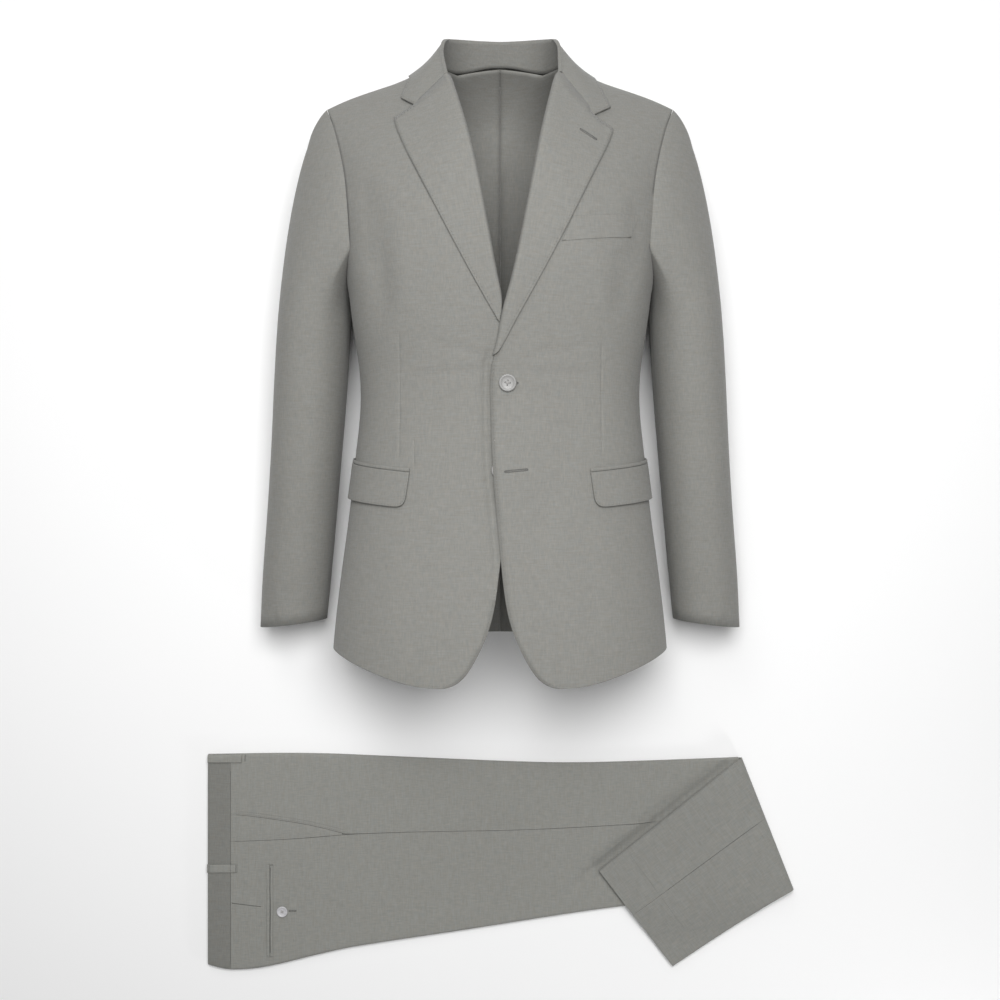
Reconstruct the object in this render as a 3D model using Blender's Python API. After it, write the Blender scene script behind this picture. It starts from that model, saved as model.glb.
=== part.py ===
"""Two-piece suit: a filled-out jacket lying on its back above a pair of folded trousers.

Units are metres. The garments lie on one flat surface at z = 0, +Y runs towards the collar,
+X towards the jacket's left sleeve (the wearer's left) and +Z away from the surface.
"""
import math

import bpy
import numpy as np

for old in list(bpy.data.objects):
    bpy.data.objects.remove(old, do_unlink=True)

# Cloth walls and the gaps between pieces
CLOTH = 0.0020
SEAM = 0.0003
LAYER = CLOTH + SEAM + 0.0007
ROLL_RADIUS = CLOTH + SEAM + CLOTH / 2 + 0.0003

# Torso sections: level along the jacket, half width, height of the widest line, rise of the front
BODY_SECTIONS = [
    (-0.250, 0.2155, 0.110, 0.128),
    (-0.180, 0.2130, 0.110, 0.128),
    (-0.105, 0.2054, 0.108, 0.124),
    (-0.020, 0.1945, 0.104, 0.118),
    (0.064, 0.1860, 0.101, 0.113),
    (0.125, 0.1800, 0.100, 0.112),
    (0.172, 0.1824, 0.102, 0.116),
    (0.215, 0.1885, 0.106, 0.122),
    (0.262, 0.1940, 0.110, 0.127),
    (0.350, 0.2040, 0.115, 0.130),
    (0.450, 0.2220, 0.122, 0.128),
    (0.500, 0.2360, 0.126, 0.124),
    (0.620, 0.2600, 0.126, 0.120),
]
FRONT_FULLNESS = 2.5
BACK_FULLNESS = 3.0
FRONT_CAP = (0.22, 0.80)
BACK_CAP = (0.13, 0.714)
BACK_SINK = 0.006

# Shoulder line: distance from the centre, level
SHOULDER = [
    (0.000, 0.6000),
    (0.050, 0.5860),
    (0.086, 0.5560),
    (0.100, 0.5472),
    (0.120, 0.5362),
    (0.150, 0.5253),
    (0.178, 0.5160),
    (0.200, 0.5076),
    (0.2205, 0.4980),
    (0.260, 0.4780),
]

# Side seams, as the turn round the body: 0 centre front, 1 widest, 2 centre back
FRONT_SEAM_TURN = 1.02
BACK_SEAM = [(-0.186, 1.42), (0.125, 1.36), (0.262, 1.24)]
SIDE_HEM = -0.186
BACK_HEM = -0.180
UNDERARM = 0.262
SHOULDER_TIP = (0.2205, 0.4980)
SIDE_COLUMNS = 6

# Armhole, front and back half: level, distance from the centre
ARMHOLE_FRONT = [
    (0.297, 0.1845),
    (0.322, 0.1853),
    (0.358, 0.1876),
    (0.389, 0.1903),
    (0.4225, 0.1963),
    (0.452, 0.2041),
    (0.479, 0.2122),
    (0.498, 0.2205),
]
ARMHOLE_BACK = [
    (0.300, 0.1925),
    (0.330, 0.1935),
    (0.358, 0.1950),
    (0.389, 0.1975),
    (0.4225, 0.2020),
    (0.452, 0.2080),
    (0.479, 0.2145),
    (0.498, 0.2205),
]

# Levels of the rows that all torso panels share, measured at the side seam and armhole
LEVELS = [
    -0.186, -0.1835, -0.179, -0.170, -0.155, -0.137, -0.115, -0.088, -0.055, -0.020,
    0.010, 0.030, 0.050, 0.070, 0.095, 0.125, 0.152, 0.164, 0.182, 0.205, 0.230, 0.250,
    0.262, 0.2665, 0.275, 0.290, 0.312, 0.345, 0.385, 0.420, 0.450, 0.474, 0.489, 0.498,
]

# Front edges: level at the side, distance from the centre, own level
FRONT_EDGE_LEFT = [
    (-0.1860, 0.0750, -0.2250),
    (-0.1835, 0.0640, -0.2243),
    (-0.1790, 0.0511, -0.2187),
    (-0.1700, 0.0392, -0.2067),
    (-0.1550, 0.0261, -0.1829),
    (-0.1370, 0.0155, -0.1593),
    (-0.1150, 0.0083, -0.1333),
    (-0.0900, 0.0042, -0.1061),
    (-0.0600, 0.0006, -0.0700),
    (-0.0200, -0.0030, -0.0264),
    (0.0250, -0.0075, 0.0240),
    (0.0600, -0.0095, 0.0615),
    (0.0950, -0.0109, 0.0977),
    (0.1300, -0.0121, 0.1375),
    (0.1520, -0.0112, 0.1600),
    (0.1640, -0.0068, 0.1740),
    (0.1800, -0.0020, 0.1890),
    (0.2000, 0.0030, 0.2110),
    (0.2220, 0.0085, 0.2340),
    (0.2560, 0.0192, 0.2724),
    (0.3480, 0.0400, 0.3783),
    (0.4050, 0.0522, 0.4420),
    (0.4400, 0.0630, 0.4850),
    (0.4680, 0.0736, 0.5254),
    (0.4850, 0.0795, 0.5440),
    (0.4980, 0.0860, 0.5560),
]
FRONT_EDGE_RIGHT = [
    (-0.1860, 0.0740, -0.2250),
    (-0.1835, 0.0630, -0.2243),
    (-0.1790, 0.0499, -0.2187),
    (-0.1700, 0.0380, -0.2067),
    (-0.1550, 0.0249, -0.1829),
    (-0.1370, 0.0143, -0.1593),
    (-0.1150, 0.0071, -0.1333),
    (-0.0900, 0.0030, -0.1061),
    (-0.0600, 0.0000, -0.0720),
    (-0.0200, -0.0090, -0.0264),
    (0.0350, -0.0190, 0.0360),
    (0.0950, -0.0291, 0.0977),
    (0.1300, -0.0303, 0.1375),
    (0.1560, -0.0285, 0.1650),
    (0.1900, -0.0105, 0.2000),
    (0.2220, -0.0001, 0.2350),
    (0.2560, 0.0071, 0.2724),
    (0.3390, 0.0248, 0.3688),
    (0.4000, 0.0408, 0.4360),
    (0.4280, 0.0488, 0.4673),
    (0.4640, 0.0660, 0.5200),
    (0.4830, 0.0780, 0.5430),
    (0.4980, 0.0860, 0.5560),
]
# Front hem: distance from the centre, level
FRONT_HEM = [
    (0.070, -0.2250),
    (0.100, -0.2232),
    (0.120, -0.2190),
    (0.155, -0.2080),
    (0.180, -0.1990),
    (0.200, -0.1910),
    (0.213, -0.1860),
]
# Where the right front ends below the left one: level, distance past the centre, layers below
UNDERLAP = [
    (-0.120, -0.012, 0.0),
    (-0.075, 0.000, 1.0),
    (-0.026, 0.009, 1.0),
    (0.036, 0.019, 1.0),
    (0.098, 0.0291, 1.0),
    (0.140, 0.0303, 1.0),
    (0.165, 0.0285, 1.6),
    (0.195, 0.0140, 1.7),
    (0.225, 0.0040, 1.6),
    (0.250, 0.0000, 1.1),
    (0.290, -0.0100, 0.0),
]
LAP_FADE = 0.040
BACK_NECK = 0.572
BACK_NECK_SHARE = 0.62
SIDE_TURN_LENGTH = 0.17

# Lapels: along the roll, roll line (out, level), outer edge (out, level)
LAPEL_LEFT = [
    (0.00, -0.0080, 0.1760, -0.0020, 0.1790),
    (0.08, -0.0041, 0.1905, 0.0060, 0.1925),
    (0.17, -0.0007, 0.2110, 0.0165, 0.2130),
    (0.27, 0.0043, 0.2340, 0.0300, 0.2360),
    (0.40, 0.0154, 0.2724, 0.0510, 0.2727),
    (0.58, 0.0295, 0.3430, 0.0841, 0.3352),
    (0.72, 0.0380, 0.3850, 0.1046, 0.3780),
    (0.86, 0.0487, 0.4420, 0.1270, 0.4240),
    (0.95, 0.0600, 0.4920, 0.1365, 0.4450),
    (1.00, 0.0677, 0.5254, 0.1374, 0.4525),
]
LAPEL_RIGHT = [
    (0.00, 0.0015, 0.2150, 0.0046, 0.2195),
    (0.08, -0.0006, 0.2240, 0.0098, 0.2285),
    (0.16, -0.0032, 0.2365, 0.0158, 0.2385),
    (0.30, 0.0036, 0.2724, 0.0355, 0.2725),
    (0.48, 0.0125, 0.3200, 0.0640, 0.3253),
    (0.68, 0.0240, 0.3800, 0.0950, 0.3858),
    (0.84, 0.0345, 0.4280, 0.1150, 0.4270),
    (0.94, 0.0470, 0.4770, 0.1272, 0.4570),
    (1.00, 0.0600, 0.5200, 0.1292, 0.4669),
]
NOTCH_LEFT = (0.1129, 0.4686)
NOTCH_RIGHT = (0.1035, 0.4820)
NOTCH_SHARE = 0.68
FLAT_END_LEFT = 0.0
FLAT_END_RIGHT = 0.20
LAPEL_ROLL_RISE = 0.0030
# Round of the roll: angle, how far ahead of the fold and how low where the lapel lies flat
LAPEL_ROLL = [
    (-62, 1.00, 0.0006),
    (-25, 0.90, 0.0004),
    (15, 0.75, 0.0002),
    (52, 0.45, 0.0000),
]
LAPEL_HEIGHT = SEAM + 0.0006 + CLOTH

# Collar: fold (x, y, z), middle of the fall, outer edge, share of the neck; front end to centre back
COLLAR_LEFT_FRONT = [
    (0.0735, 0.5560, 0.1640, 0.1075, 0.5085, 0.1790, 0.1283, 0.5105, 0.1610, -0.60),
    (0.0742, 0.5740, 0.1450, 0.1035, 0.5375, 0.1560, 0.1232, 0.5280, 0.1440, -0.28),
]
COLLAR_RIGHT_FRONT = [
    (0.0715, 0.5560, 0.1640, 0.1000, 0.5165, 0.1790, 0.1178, 0.5200, 0.1600, -0.60),
    (0.0728, 0.5740, 0.1450, 0.0960, 0.5430, 0.1560, 0.1140, 0.5340, 0.1440, -0.28),
]
COLLAR_BACK = [
    (0.0706, 0.5890, 0.1270, 0.0970, 0.5560, 0.1270, 0.1175, 0.5410, 0.1270, 0.00),
    (0.0640, 0.5965, 0.1070, 0.0925, 0.5690, 0.0990, 0.1080, 0.5450, 0.0960, 0.20),
    (0.0510, 0.6015, 0.0910, 0.0765, 0.5800, 0.0740, 0.0875, 0.5520, 0.0640, 0.42),
    (0.0280, 0.6038, 0.0800, 0.0425, 0.5860, 0.0560, 0.0465, 0.5565, 0.0400, 0.70),
    (0.0000, 0.6040, 0.0760, 0.0000, 0.5870, 0.0500, 0.0000, 0.5575, 0.0330, 1.00),
]
COLLAR_TIP_LEFT = (0.1359, 0.4846)
COLLAR_TIP_RIGHT = (0.1219, 0.4969)
COLLAR_U = (0.12, 0.30, 0.45, 0.60, 0.80, 1.0)
COLLAR_WALL = 0.0018
STAND_GAP = 0.0023
NECK_DROP = 0.030

# Sleeve sections: level, centre distance, half width, centre height, half depth
SLEEVE_SECTIONS = [
    (0.225, 0.2432, 0.0473, 0.0830, 0.0695),
    (0.129, 0.2501, 0.0473, 0.0735, 0.0625),
    (0.050, 0.2565, 0.0462, 0.0660, 0.0580),
    (-0.029, 0.2636, 0.0458, 0.0588, 0.0530),
    (-0.093, 0.2699, 0.0460, 0.0528, 0.0492),
    (-0.142, 0.2741, 0.0455, 0.0476, 0.0458),
    (-0.163, 0.2758, 0.0440, 0.0458, 0.0448),
]
SLEEVE_FULLNESS = 2.15
SLEEVE_SEAMS = (0.47, 0.78)
CUFF_TILT = 0.12
HEAD_PUFF = 0.55
SLEEVE_GIRTH = 0.28

# Hip flaps: distance and level of the four corners, and their strips
FLAP_TOP_FRONT = (0.1095, 0.0338)
FLAP_TOP_SIDE_TURN = 1.03
FLAP_TOP_SIDE = 0.0505
FLAP_DEPTH_FRONT = 0.0435
FLAP_DEPTH_SIDE = 0.0450
FLAP_CORNER = 0.011
FLAP_LENGTH = 0.145
JETTING_WIDTH = 0.0046
FLAP_PROUD = 0.0012

# Breast welt: bottom front, bottom side, top side, top front (out, level)
BREAST_WELT = [(0.0735, 0.3085), (0.1586, 0.3190), (0.1690, 0.3475), (0.0862, 0.3380)]
BREAST_WALL = 0.0014

# Buttons: centre (out, level), radius, thickness
FRONT_BUTTON_RADIUS = 0.0107
FRONT_BUTTON_WALL = 0.0032
BUTTON_STAND = 0.0012
UPPER_BUTTON = (0.0091, 0.1421)
LOWER_BUTTON = (-0.0014, 0.0360)
BUTTON_BUMP = (0.0046, 0.026, 0.030)
# Section from the underside over the raised rim: share of the radius, share of the thickness
BUTTON_PROFILE = [
    (0.55, 0.00),
    (0.85, 0.02),
    (1.00, 0.30),
    (1.00, 0.62),
    (0.93, 0.95),
    (0.80, 1.00),
    (0.66, 0.78),
    (0.60, 0.72),
]

CLOTH_COLOUR = (0.27, 0.27, 0.245, 1.0)
TROUSER_COLOUR = (0.25, 0.25, 0.225, 1.0)
BUTTON_COLOUR = (0.62, 0.61, 0.58, 1.0)


# Curves and grids
def smooth(table, column, at):
    """Smooth curve through one column of a table, over its first column."""
    rows = np.array(table, float)
    xs, ys = rows[:, 0], rows[:, column]
    slope = np.diff(ys) / np.diff(xs)
    tangent = np.empty(len(xs))
    tangent[0], tangent[-1] = slope[0], slope[-1]
    before, after = np.diff(xs)[:-1], np.diff(xs)[1:]
    tangent[1:-1] = (slope[:-1] * after + slope[1:] * before) / (before + after)
    at = np.clip(np.asarray(at, float), xs[0], xs[-1])
    k = np.clip(np.searchsorted(xs, at, side="right") - 1, 0, len(xs) - 2)
    step = xs[k + 1] - xs[k]
    s = (at - xs[k]) / step
    near = (2 * s ** 3 - 3 * s ** 2 + 1) * ys[k] + (s ** 3 - 2 * s ** 2 + s) * step * tangent[k]
    far = (3 * s ** 2 - 2 * s ** 3) * ys[k + 1] + (s ** 3 - s ** 2) * step * tangent[k + 1]
    return near + far


def ease(value):
    """Soft step from 0 to 1."""
    value = np.clip(value, 0.0, 1.0)
    return value * value * (3 - 2 * value)


def unit(vectors):
    return vectors / np.maximum(np.linalg.norm(vectors, axis=-1, keepdims=True), 1e-12)


def grid_normals(grid):
    """Directions square to a grid of points."""
    along = np.gradient(grid, axis=0)
    across = np.gradient(grid, axis=1)
    return unit(np.cross(across, along))


def coons(left, right, bottom, top, u, v):
    """Fill between four edge curves; u runs left to right and v bottom to top."""
    u, v = u[..., None], v[..., None]
    ruled = (1 - u) * left + u * right + (1 - v) * bottom + v * top
    corners = (1 - u) * (1 - v) * bottom[:, :1] + u * (1 - v) * bottom[:, -1:]
    corners = corners + (1 - u) * v * top[:, :1] + u * v * top[:, -1:]
    return ruled - corners


# The torso surface
def half_width(y):
    return smooth(BODY_SECTIONS, 1, y)


def shoulder_level(x):
    return smooth(SHOULDER, 1, np.abs(x))


def turn_of(x, y, back=False):
    """Turn round the body of a point at distance x from the centre."""
    fullness = BACK_FULLNESS if back else FRONT_FULLNESS
    share = np.clip(np.abs(x) / half_width(y), 0.0, 1.0) ** (fullness / 2)
    turn = np.sign(x) * np.arcsin(share) * 2 / math.pi
    return 2 - turn if back else turn


def torso(turn, y):
    """Point of the body surface, for the wearer's left half."""
    front = turn <= 1.0
    fullness = np.where(front, FRONT_FULLNESS, BACK_FULLNESS)
    angle = np.where(front, turn, 2 - turn) * math.pi / 2
    x = half_width(y) * np.sign(angle) * np.abs(np.sin(angle)) ** (2 / fullness)
    section = np.abs(np.cos(angle)) ** (2 / fullness)
    below = np.maximum(shoulder_level(x) - y, 0.0)
    reach = np.where(front, FRONT_CAP[0], BACK_CAP[0])
    power = np.where(front, FRONT_CAP[1], BACK_CAP[1])
    cap = (1 - (1 - np.minimum(below / reach, 1.0)) ** 2) ** power
    middle = smooth(BODY_SECTIONS, 2, y)
    split = SEAM * 0.6 * (1 - cap)
    high = middle + split + smooth(BODY_SECTIONS, 3, y) * section * cap
    low = np.maximum(middle - split - (middle + BACK_SINK) * section * cap, 0.0)
    return np.stack([x, y + 0 * x, np.where(front, high, low)], axis=-1)


def torso_normal(turn, y):
    """Outward direction of the body surface."""
    turn_step, level_step = 0.003, 0.0004
    across = torso(turn + turn_step, y) - torso(turn - turn_step, y)
    along = torso(turn, y) - torso(turn, y - level_step)
    return unit(np.cross(along, across) * -1.0)


def raised(turn, y, height):
    return torso(turn, y) + torso_normal(turn, y) * np.asarray(height)[..., None]


def lap_rise(x, y):
    """How far the left front lies above the plain surface where it laps over the right one."""
    past = smooth(UNDERLAP, 1, y)
    layers = np.clip(smooth(UNDERLAP, 2, y), 0.0, 2.3)
    rise = layers * LAYER * (1 - ease((x - past - 0.009) / LAP_FADE))
    reach = np.hypot(x - LOWER_BUTTON[0], y - LOWER_BUTTON[1])
    return rise + BUTTON_BUMP[0] * (1 - ease((reach - BUTTON_BUMP[1]) / BUTTON_BUMP[2]))


# Building meshes
def material(name, colour, roughness):
    made = bpy.data.materials.new(name)
    made.use_nodes = True
    shader = made.node_tree.nodes["Principled BSDF"]
    shader.inputs["Base Color"].default_value = colour
    shader.inputs["Roughness"].default_value = roughness
    return made


def add_object(name, points, faces, colour=CLOTH_COLOUR, roughness=0.9):
    """Make one closed, outward-facing, smooth-shaded object."""
    mesh = bpy.data.meshes.new(name)
    mesh.from_pydata([tuple(map(float, p)) for p in points], [], faces)
    mesh.validate()
    made = bpy.data.objects.new(name, mesh)
    bpy.context.scene.collection.objects.link(made)
    mesh.materials.append(material(name, colour, roughness))
    volume = 0.0
    for polygon in mesh.polygons:
        corners = [mesh.vertices[i].co for i in polygon.vertices]
        for a, b in zip(corners[1:-1], corners[2:]):
            volume += corners[0].dot(a.cross(b))
    if volume < 0:
        mesh.flip_normals()
    for polygon in mesh.polygons:
        polygon.use_smooth = True
    mesh.set_sharp_from_angle(angle=math.radians(50))
    return made


def shell(name, outer, inner, mirror=False, **look):
    """Closed thin wall between two grids of points."""
    rows, columns = outer.shape[:2]
    points = np.concatenate([outer.reshape(-1, 3), inner.reshape(-1, 3)])
    if mirror:
        points = points * np.array([-1.0, 1.0, 1.0])
    below = rows * columns
    faces = []
    for i in range(rows - 1):
        for j in range(columns - 1):
            a = i * columns + j
            quad = (a, a + 1, a + columns + 1, a + columns)
            faces.append(quad)
            faces.append(tuple(below + k for k in reversed(quad)))
    rim = [j for j in range(columns)]
    rim += [i * columns + columns - 1 for i in range(1, rows)]
    rim += [(rows - 1) * columns + j for j in range(columns - 2, -1, -1)]
    rim += [i * columns for i in range(rows - 2, 0, -1)]
    for a, b in zip(rim, rim[1:] + rim[:1]):
        faces.append((b, a, below + a, below + b))
    return add_object(name, points, faces, **look)


def wall_below(grid, normals, thickness=CLOTH):
    return grid - normals * thickness


# Torso panels
def armhole_turn(level, back):
    """Turn of the armhole edge at a level."""
    table = ARMHOLE_BACK if back else ARMHOLE_FRONT
    lowest = table[0][0]
    foot = turn_of(np.array(table[0][1]), np.array(lowest), back)
    upper = turn_of(smooth(table, 1, np.maximum(level, lowest)), np.maximum(level, lowest), back)
    share = np.clip((level - UNDERARM) / (lowest - UNDERARM), 0.0, 1.0)
    side = side_top_turn() if back else FRONT_SEAM_TURN
    lower = foot + (side - foot) * np.sqrt(np.maximum(1 - share, 0.0)) ** 1.3
    return np.where(level < lowest, lower, upper)


def side_top_turn():
    return BACK_SEAM[-1][1]


def panel(name, left, right, bottom, top, columns, side=1, lap=False):
    """Thin torso panel between four edges given as (turn, level) curves."""
    u = np.linspace(0, 1, columns)
    rows = len(left)
    v = (levels[:rows] - levels[0]) / (levels[rows - 1] - levels[0])
    uu, vv = np.meshgrid(u, v)
    spot = coons(left[:, None], right[:, None], bottom(u)[None], top(u)[None], uu, vv)
    turn, level = spot[..., 0], spot[..., 1]
    outer = torso(turn, level)
    normals = torso_normal(turn, level)
    if rows == len(LEVELS):
        normals[-1, :, 2] = 0.0
        normals = unit(normals)
    if lap:
        outer = outer + normals * lap_rise(outer[..., 0], outer[..., 1])[..., None]
    return shell(name, outer, wall_below(outer, normals), mirror=side < 0)


def curve(turns, levels):
    return np.stack([turns, levels], axis=-1)


SEAM_TURN = SEAM / 2 / SIDE_TURN_LENGTH
levels = np.array(LEVELS)


def shoulder_edge(u, back):
    """Shoulder seam from the neck to the shoulder tip as (turn, level)."""
    x = FRONT_EDGE_LEFT[-1][1] + u * (SHOULDER_TIP[0] - FRONT_EDGE_LEFT[-1][1])
    y = shoulder_level(x)
    return curve(turn_of(x, y, back), y)


def front_panel(name, table, side, lap):
    x, y = smooth(table, 1, levels), smooth(table, 2, levels)
    left = curve(turn_of(x, y), y)
    turns = np.where(levels <= UNDERARM, FRONT_SEAM_TURN, armhole_turn(levels, False))
    right = curve(turns - SEAM_TURN, levels)
    left_start, right_start = left[0], right[0]

    def bottom(u):
        turn = left_start[0] + u * (right_start[0] - left_start[0])
        out = torso(np.minimum(turn, 1.0), np.full_like(turn, SIDE_HEM))[..., 0]
        level = smooth(FRONT_HEM, 1, out)
        level = level + (1 - u) * (left_start[1] - level[0]) + u * (right_start[1] - level[-1])
        return curve(turn, level)

    def top(u):
        edge = shoulder_edge(u, False)
        return edge + (1 - u)[:, None] * (left[-1] - edge[0]) + u[:, None] * (right[-1] - edge[-1])

    return panel(name, left, right, bottom, top, 12, side, lap)


def side_panel(name, side):
    count = int(np.sum(levels <= UNDERARM))
    low = levels[:count]
    left = curve(np.full(count, FRONT_SEAM_TURN + SEAM_TURN), low)
    right = curve(smooth(BACK_SEAM, 1, low) - SEAM_TURN, low)

    def bottom(u):
        return curve(left[0, 0] + u * (right[0, 0] - left[0, 0]), SIDE_HEM + 0.002 * u)

    def top(u):
        return curve(left[-1, 0] + u * (right[-1, 0] - left[-1, 0]), np.full_like(u, UNDERARM))

    return panel(name, left, right, bottom, top, SIDE_COLUMNS, side)


def back_panel(name, side):
    seam_turns = smooth(BACK_SEAM, 1, np.minimum(levels, UNDERARM))
    turns = np.where(levels <= UNDERARM, seam_turns, armhole_turn(levels, True))
    left = curve(turns + SEAM_TURN, levels)
    centre_span = (levels - levels[0]) / (levels[-1] - levels[0])
    centre = BACK_HEM + centre_span * (BACK_NECK - BACK_HEM)
    right = curve(turn_of(np.full_like(centre, SEAM / 2), centre, True), centre)

    def bottom(u):
        turn = left[0, 0] + u * (right[0, 0] - left[0, 0])
        return curve(turn, SIDE_HEM + 0.002 + u * (BACK_HEM - SIDE_HEM - 0.002))

    def top(u):
        neck_x = FRONT_EDGE_LEFT[-1][1]
        reach = SHOULDER_TIP[0] - neck_x
        share = np.clip(u / BACK_NECK_SHARE, 0.0, 1.0)
        x = SHOULDER_TIP[0] - share * reach
        y = shoulder_level(x)
        inner = np.clip((u - BACK_NECK_SHARE) / (1 - BACK_NECK_SHARE), 0.0, 1.0)
        neck = neck_x * (1 - inner) + SEAM / 2 * inner
        dip = BACK_NECK + (shoulder_level(neck_x) - BACK_NECK) * np.cos(inner * math.pi / 2) ** 2
        over = u > BACK_NECK_SHARE
        x, y = np.where(over, neck, x), np.where(over, dip, y)
        edge = curve(turn_of(x, y, True), y)
        return edge + (1 - u)[:, None] * (left[-1] - edge[0]) + u[:, None] * (right[-1] - edge[-1])

    return panel(name, left, right, bottom, top, 9, side)


front_panel("front_left", FRONT_EDGE_LEFT, 1, True)
front_panel("front_right", FRONT_EDGE_RIGHT, -1, False)
for label, side in (("left", 1), ("right", -1)):
    side_panel("side_" + label, side)
    back_panel("back_" + label, side)


# Lapels: each wraps the front's roll edge and lies out over the chest
def over_front(x, y, side, height):
    """Point above a front's outer face at distance x and level y, on the wearer's left half."""
    turn = turn_of(x, y)
    rise = lap_rise(x, y) if side > 0 else 0.0 * x
    return raised(turn, y, rise + height)


def lapel(name, table, notch, flat_end, side):
    v = np.concatenate([np.linspace(0, 0.36, 7), np.linspace(0.46, 1.0, 7)])
    u = np.array([0.0, 0.10, 0.25, 0.42, 0.58, NOTCH_SHARE, 0.84, 1.0])
    rows = [smooth(table, k, v) for k in (1, 2, 3, 4)]
    inner, outer = np.stack(rows[:2], -1), np.stack(rows[2:], -1)
    setback = unit(outer - inner) * ROLL_RADIUS
    start = inner + setback * np.minimum(1.0, np.linalg.norm(outer - inner, axis=-1) / 0.010)[:, None]
    top_share = np.clip(u / NOTCH_SHARE, 0.0, 1.0)[:, None]
    tip_share = np.clip((u - NOTCH_SHARE) / (1 - NOTCH_SHARE), 0.0, 1.0)[:, None]
    top = start[-1] + top_share * (np.array(notch) - start[-1])
    top = top + tip_share * (outer[-1] - np.array(notch))
    bottom = start[0] + u[:, None] * (outer[0] - start[0])
    uu, vv = np.meshgrid(u, v)
    spot = coons(start[:, None], outer[:, None], bottom[None], top[None], uu, vv)
    x, y = spot[..., 0], spot[..., 1]
    width = np.linalg.norm(outer - start, axis=-1)[:, None]
    lift = LAPEL_ROLL_RISE * (1 - uu) ** 2 * np.minimum(1.0, width / 0.03)
    lift = lift + 0.0008 * np.sin(uu * math.pi)
    flat = over_front(x, y, side, LAPEL_HEIGHT + lift)
    centre = over_front(start[:, 0], start[:, 1], side, -CLOTH / 2)
    normal = torso_normal(turn_of(start[:, 0], start[:, 1]), start[:, 1])
    towards = unit(flat[:, 0] - flat[:, 2])
    towards = unit(towards - normal * np.sum(towards * normal, axis=-1, keepdims=True))
    wrap = ease((v - flat_end * 0.6) / (flat_end * 0.4))[:, None] if flat_end else np.ones((len(v), 1))
    radius = ROLL_RADIUS + 0.0003
    rolls = []
    for degrees, ahead, drop in LAPEL_ROLL:
        angle = math.radians(degrees)
        rise = lift[:, :1] * max(0.0, math.sin(angle))
        turned = centre + towards * radius * math.cos(angle)
        turned = turned + normal * (radius * math.sin(angle) + rise)
        laid = flat[:, 0] + towards * radius * ahead - normal * drop
        rolls.append(turned * wrap + laid * (1 - wrap))
    grid = np.concatenate([np.stack(rolls, axis=1), flat], axis=1)
    normals = grid_normals(grid)
    if np.mean(np.sum(normals[:, -1] * normal, axis=-1)) < 0:
        normals = -normals
    return shell(name, grid, wall_below(grid, normals), mirror=side < 0)


lapel("lapel_left", LAPEL_LEFT, NOTCH_LEFT, FLAT_END_LEFT, 1)
lapel("lapel_right", LAPEL_RIGHT, NOTCH_RIGHT, FLAT_END_RIGHT, -1)


# Sleeves: two-piece tubes from the armhole ring to the cuff
def armhole_path():
    """Armhole as (turn, level) through the panels' own rows, with its share of the ring."""
    walk = levels[levels >= UNDERARM][::-1]
    front = curve(armhole_turn(walk, False), walk)
    back = curve(armhole_turn(walk, True), walk)[::-1]
    low_turns = np.linspace(FRONT_SEAM_TURN, side_top_turn(), SIDE_COLUMNS)[1:-1]
    low = curve(low_turns, np.full_like(low_turns, UNDERARM))
    path = np.concatenate([front, low, back])
    points = torso(path[:, 0], path[:, 1])
    split = len(front) + (SIDE_COLUMNS - 2) // 2
    share = np.empty(len(points))
    for first, last, base in ((0, split, 0.0), (split, len(points) - 1, 0.5)):
        steps = np.linalg.norm(np.diff(points[first:last + 1], axis=0), axis=-1)
        run = np.concatenate([[0.0], np.cumsum(steps)])
        share[first:last + 1] = base + 0.5 * run / run[-1]
    return path, share


def armhole_ring(q):
    """Armhole point and body direction; q runs tip 0, front, underarm 0.5, back, tip 1."""
    path, share = armhole_path()
    q = np.mod(q, 1.0)
    turn = np.interp(q, share, path[:, 0])
    level = np.interp(q, share, path[:, 1])
    direction = torso_normal(turn, level)
    tip = np.exp(-(np.minimum(q, 1 - q) / 0.05) ** 2)[..., None]
    shoulder = unit(np.array([0.36, 0.93, 0.0]))
    point = torso(turn, level)
    point[..., 2] = np.where(np.minimum(q, 1 - q) < 0.004, 0.126, point[..., 2])
    return point, unit(direction * (1 - tip) + shoulder * tip)


def sleeve_ring(q, level):
    """Point of the sleeve tube below the underarm."""
    x = smooth(SLEEVE_SECTIONS[::-1], 1, level)
    half = smooth(SLEEVE_SECTIONS[::-1], 2, level)
    z = smooth(SLEEVE_SECTIONS[::-1], 3, level)
    depth = smooth(SLEEVE_SECTIONS[::-1], 4, level)
    angle = q * 2 * math.pi
    power = 2 / SLEEVE_FULLNESS
    out = half * np.sign(np.cos(angle)) * np.abs(np.cos(angle)) ** power
    up = depth * np.sign(np.sin(angle)) * np.abs(np.sin(angle)) ** power
    low = SLEEVE_SECTIONS[0][0]
    cuff = SLEEVE_SECTIONS[-1][0]
    tilt = CUFF_TILT * ease((low - level) / (low - cuff))
    return np.stack([x + out, level - out * tilt, z + up], axis=-1)


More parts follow.
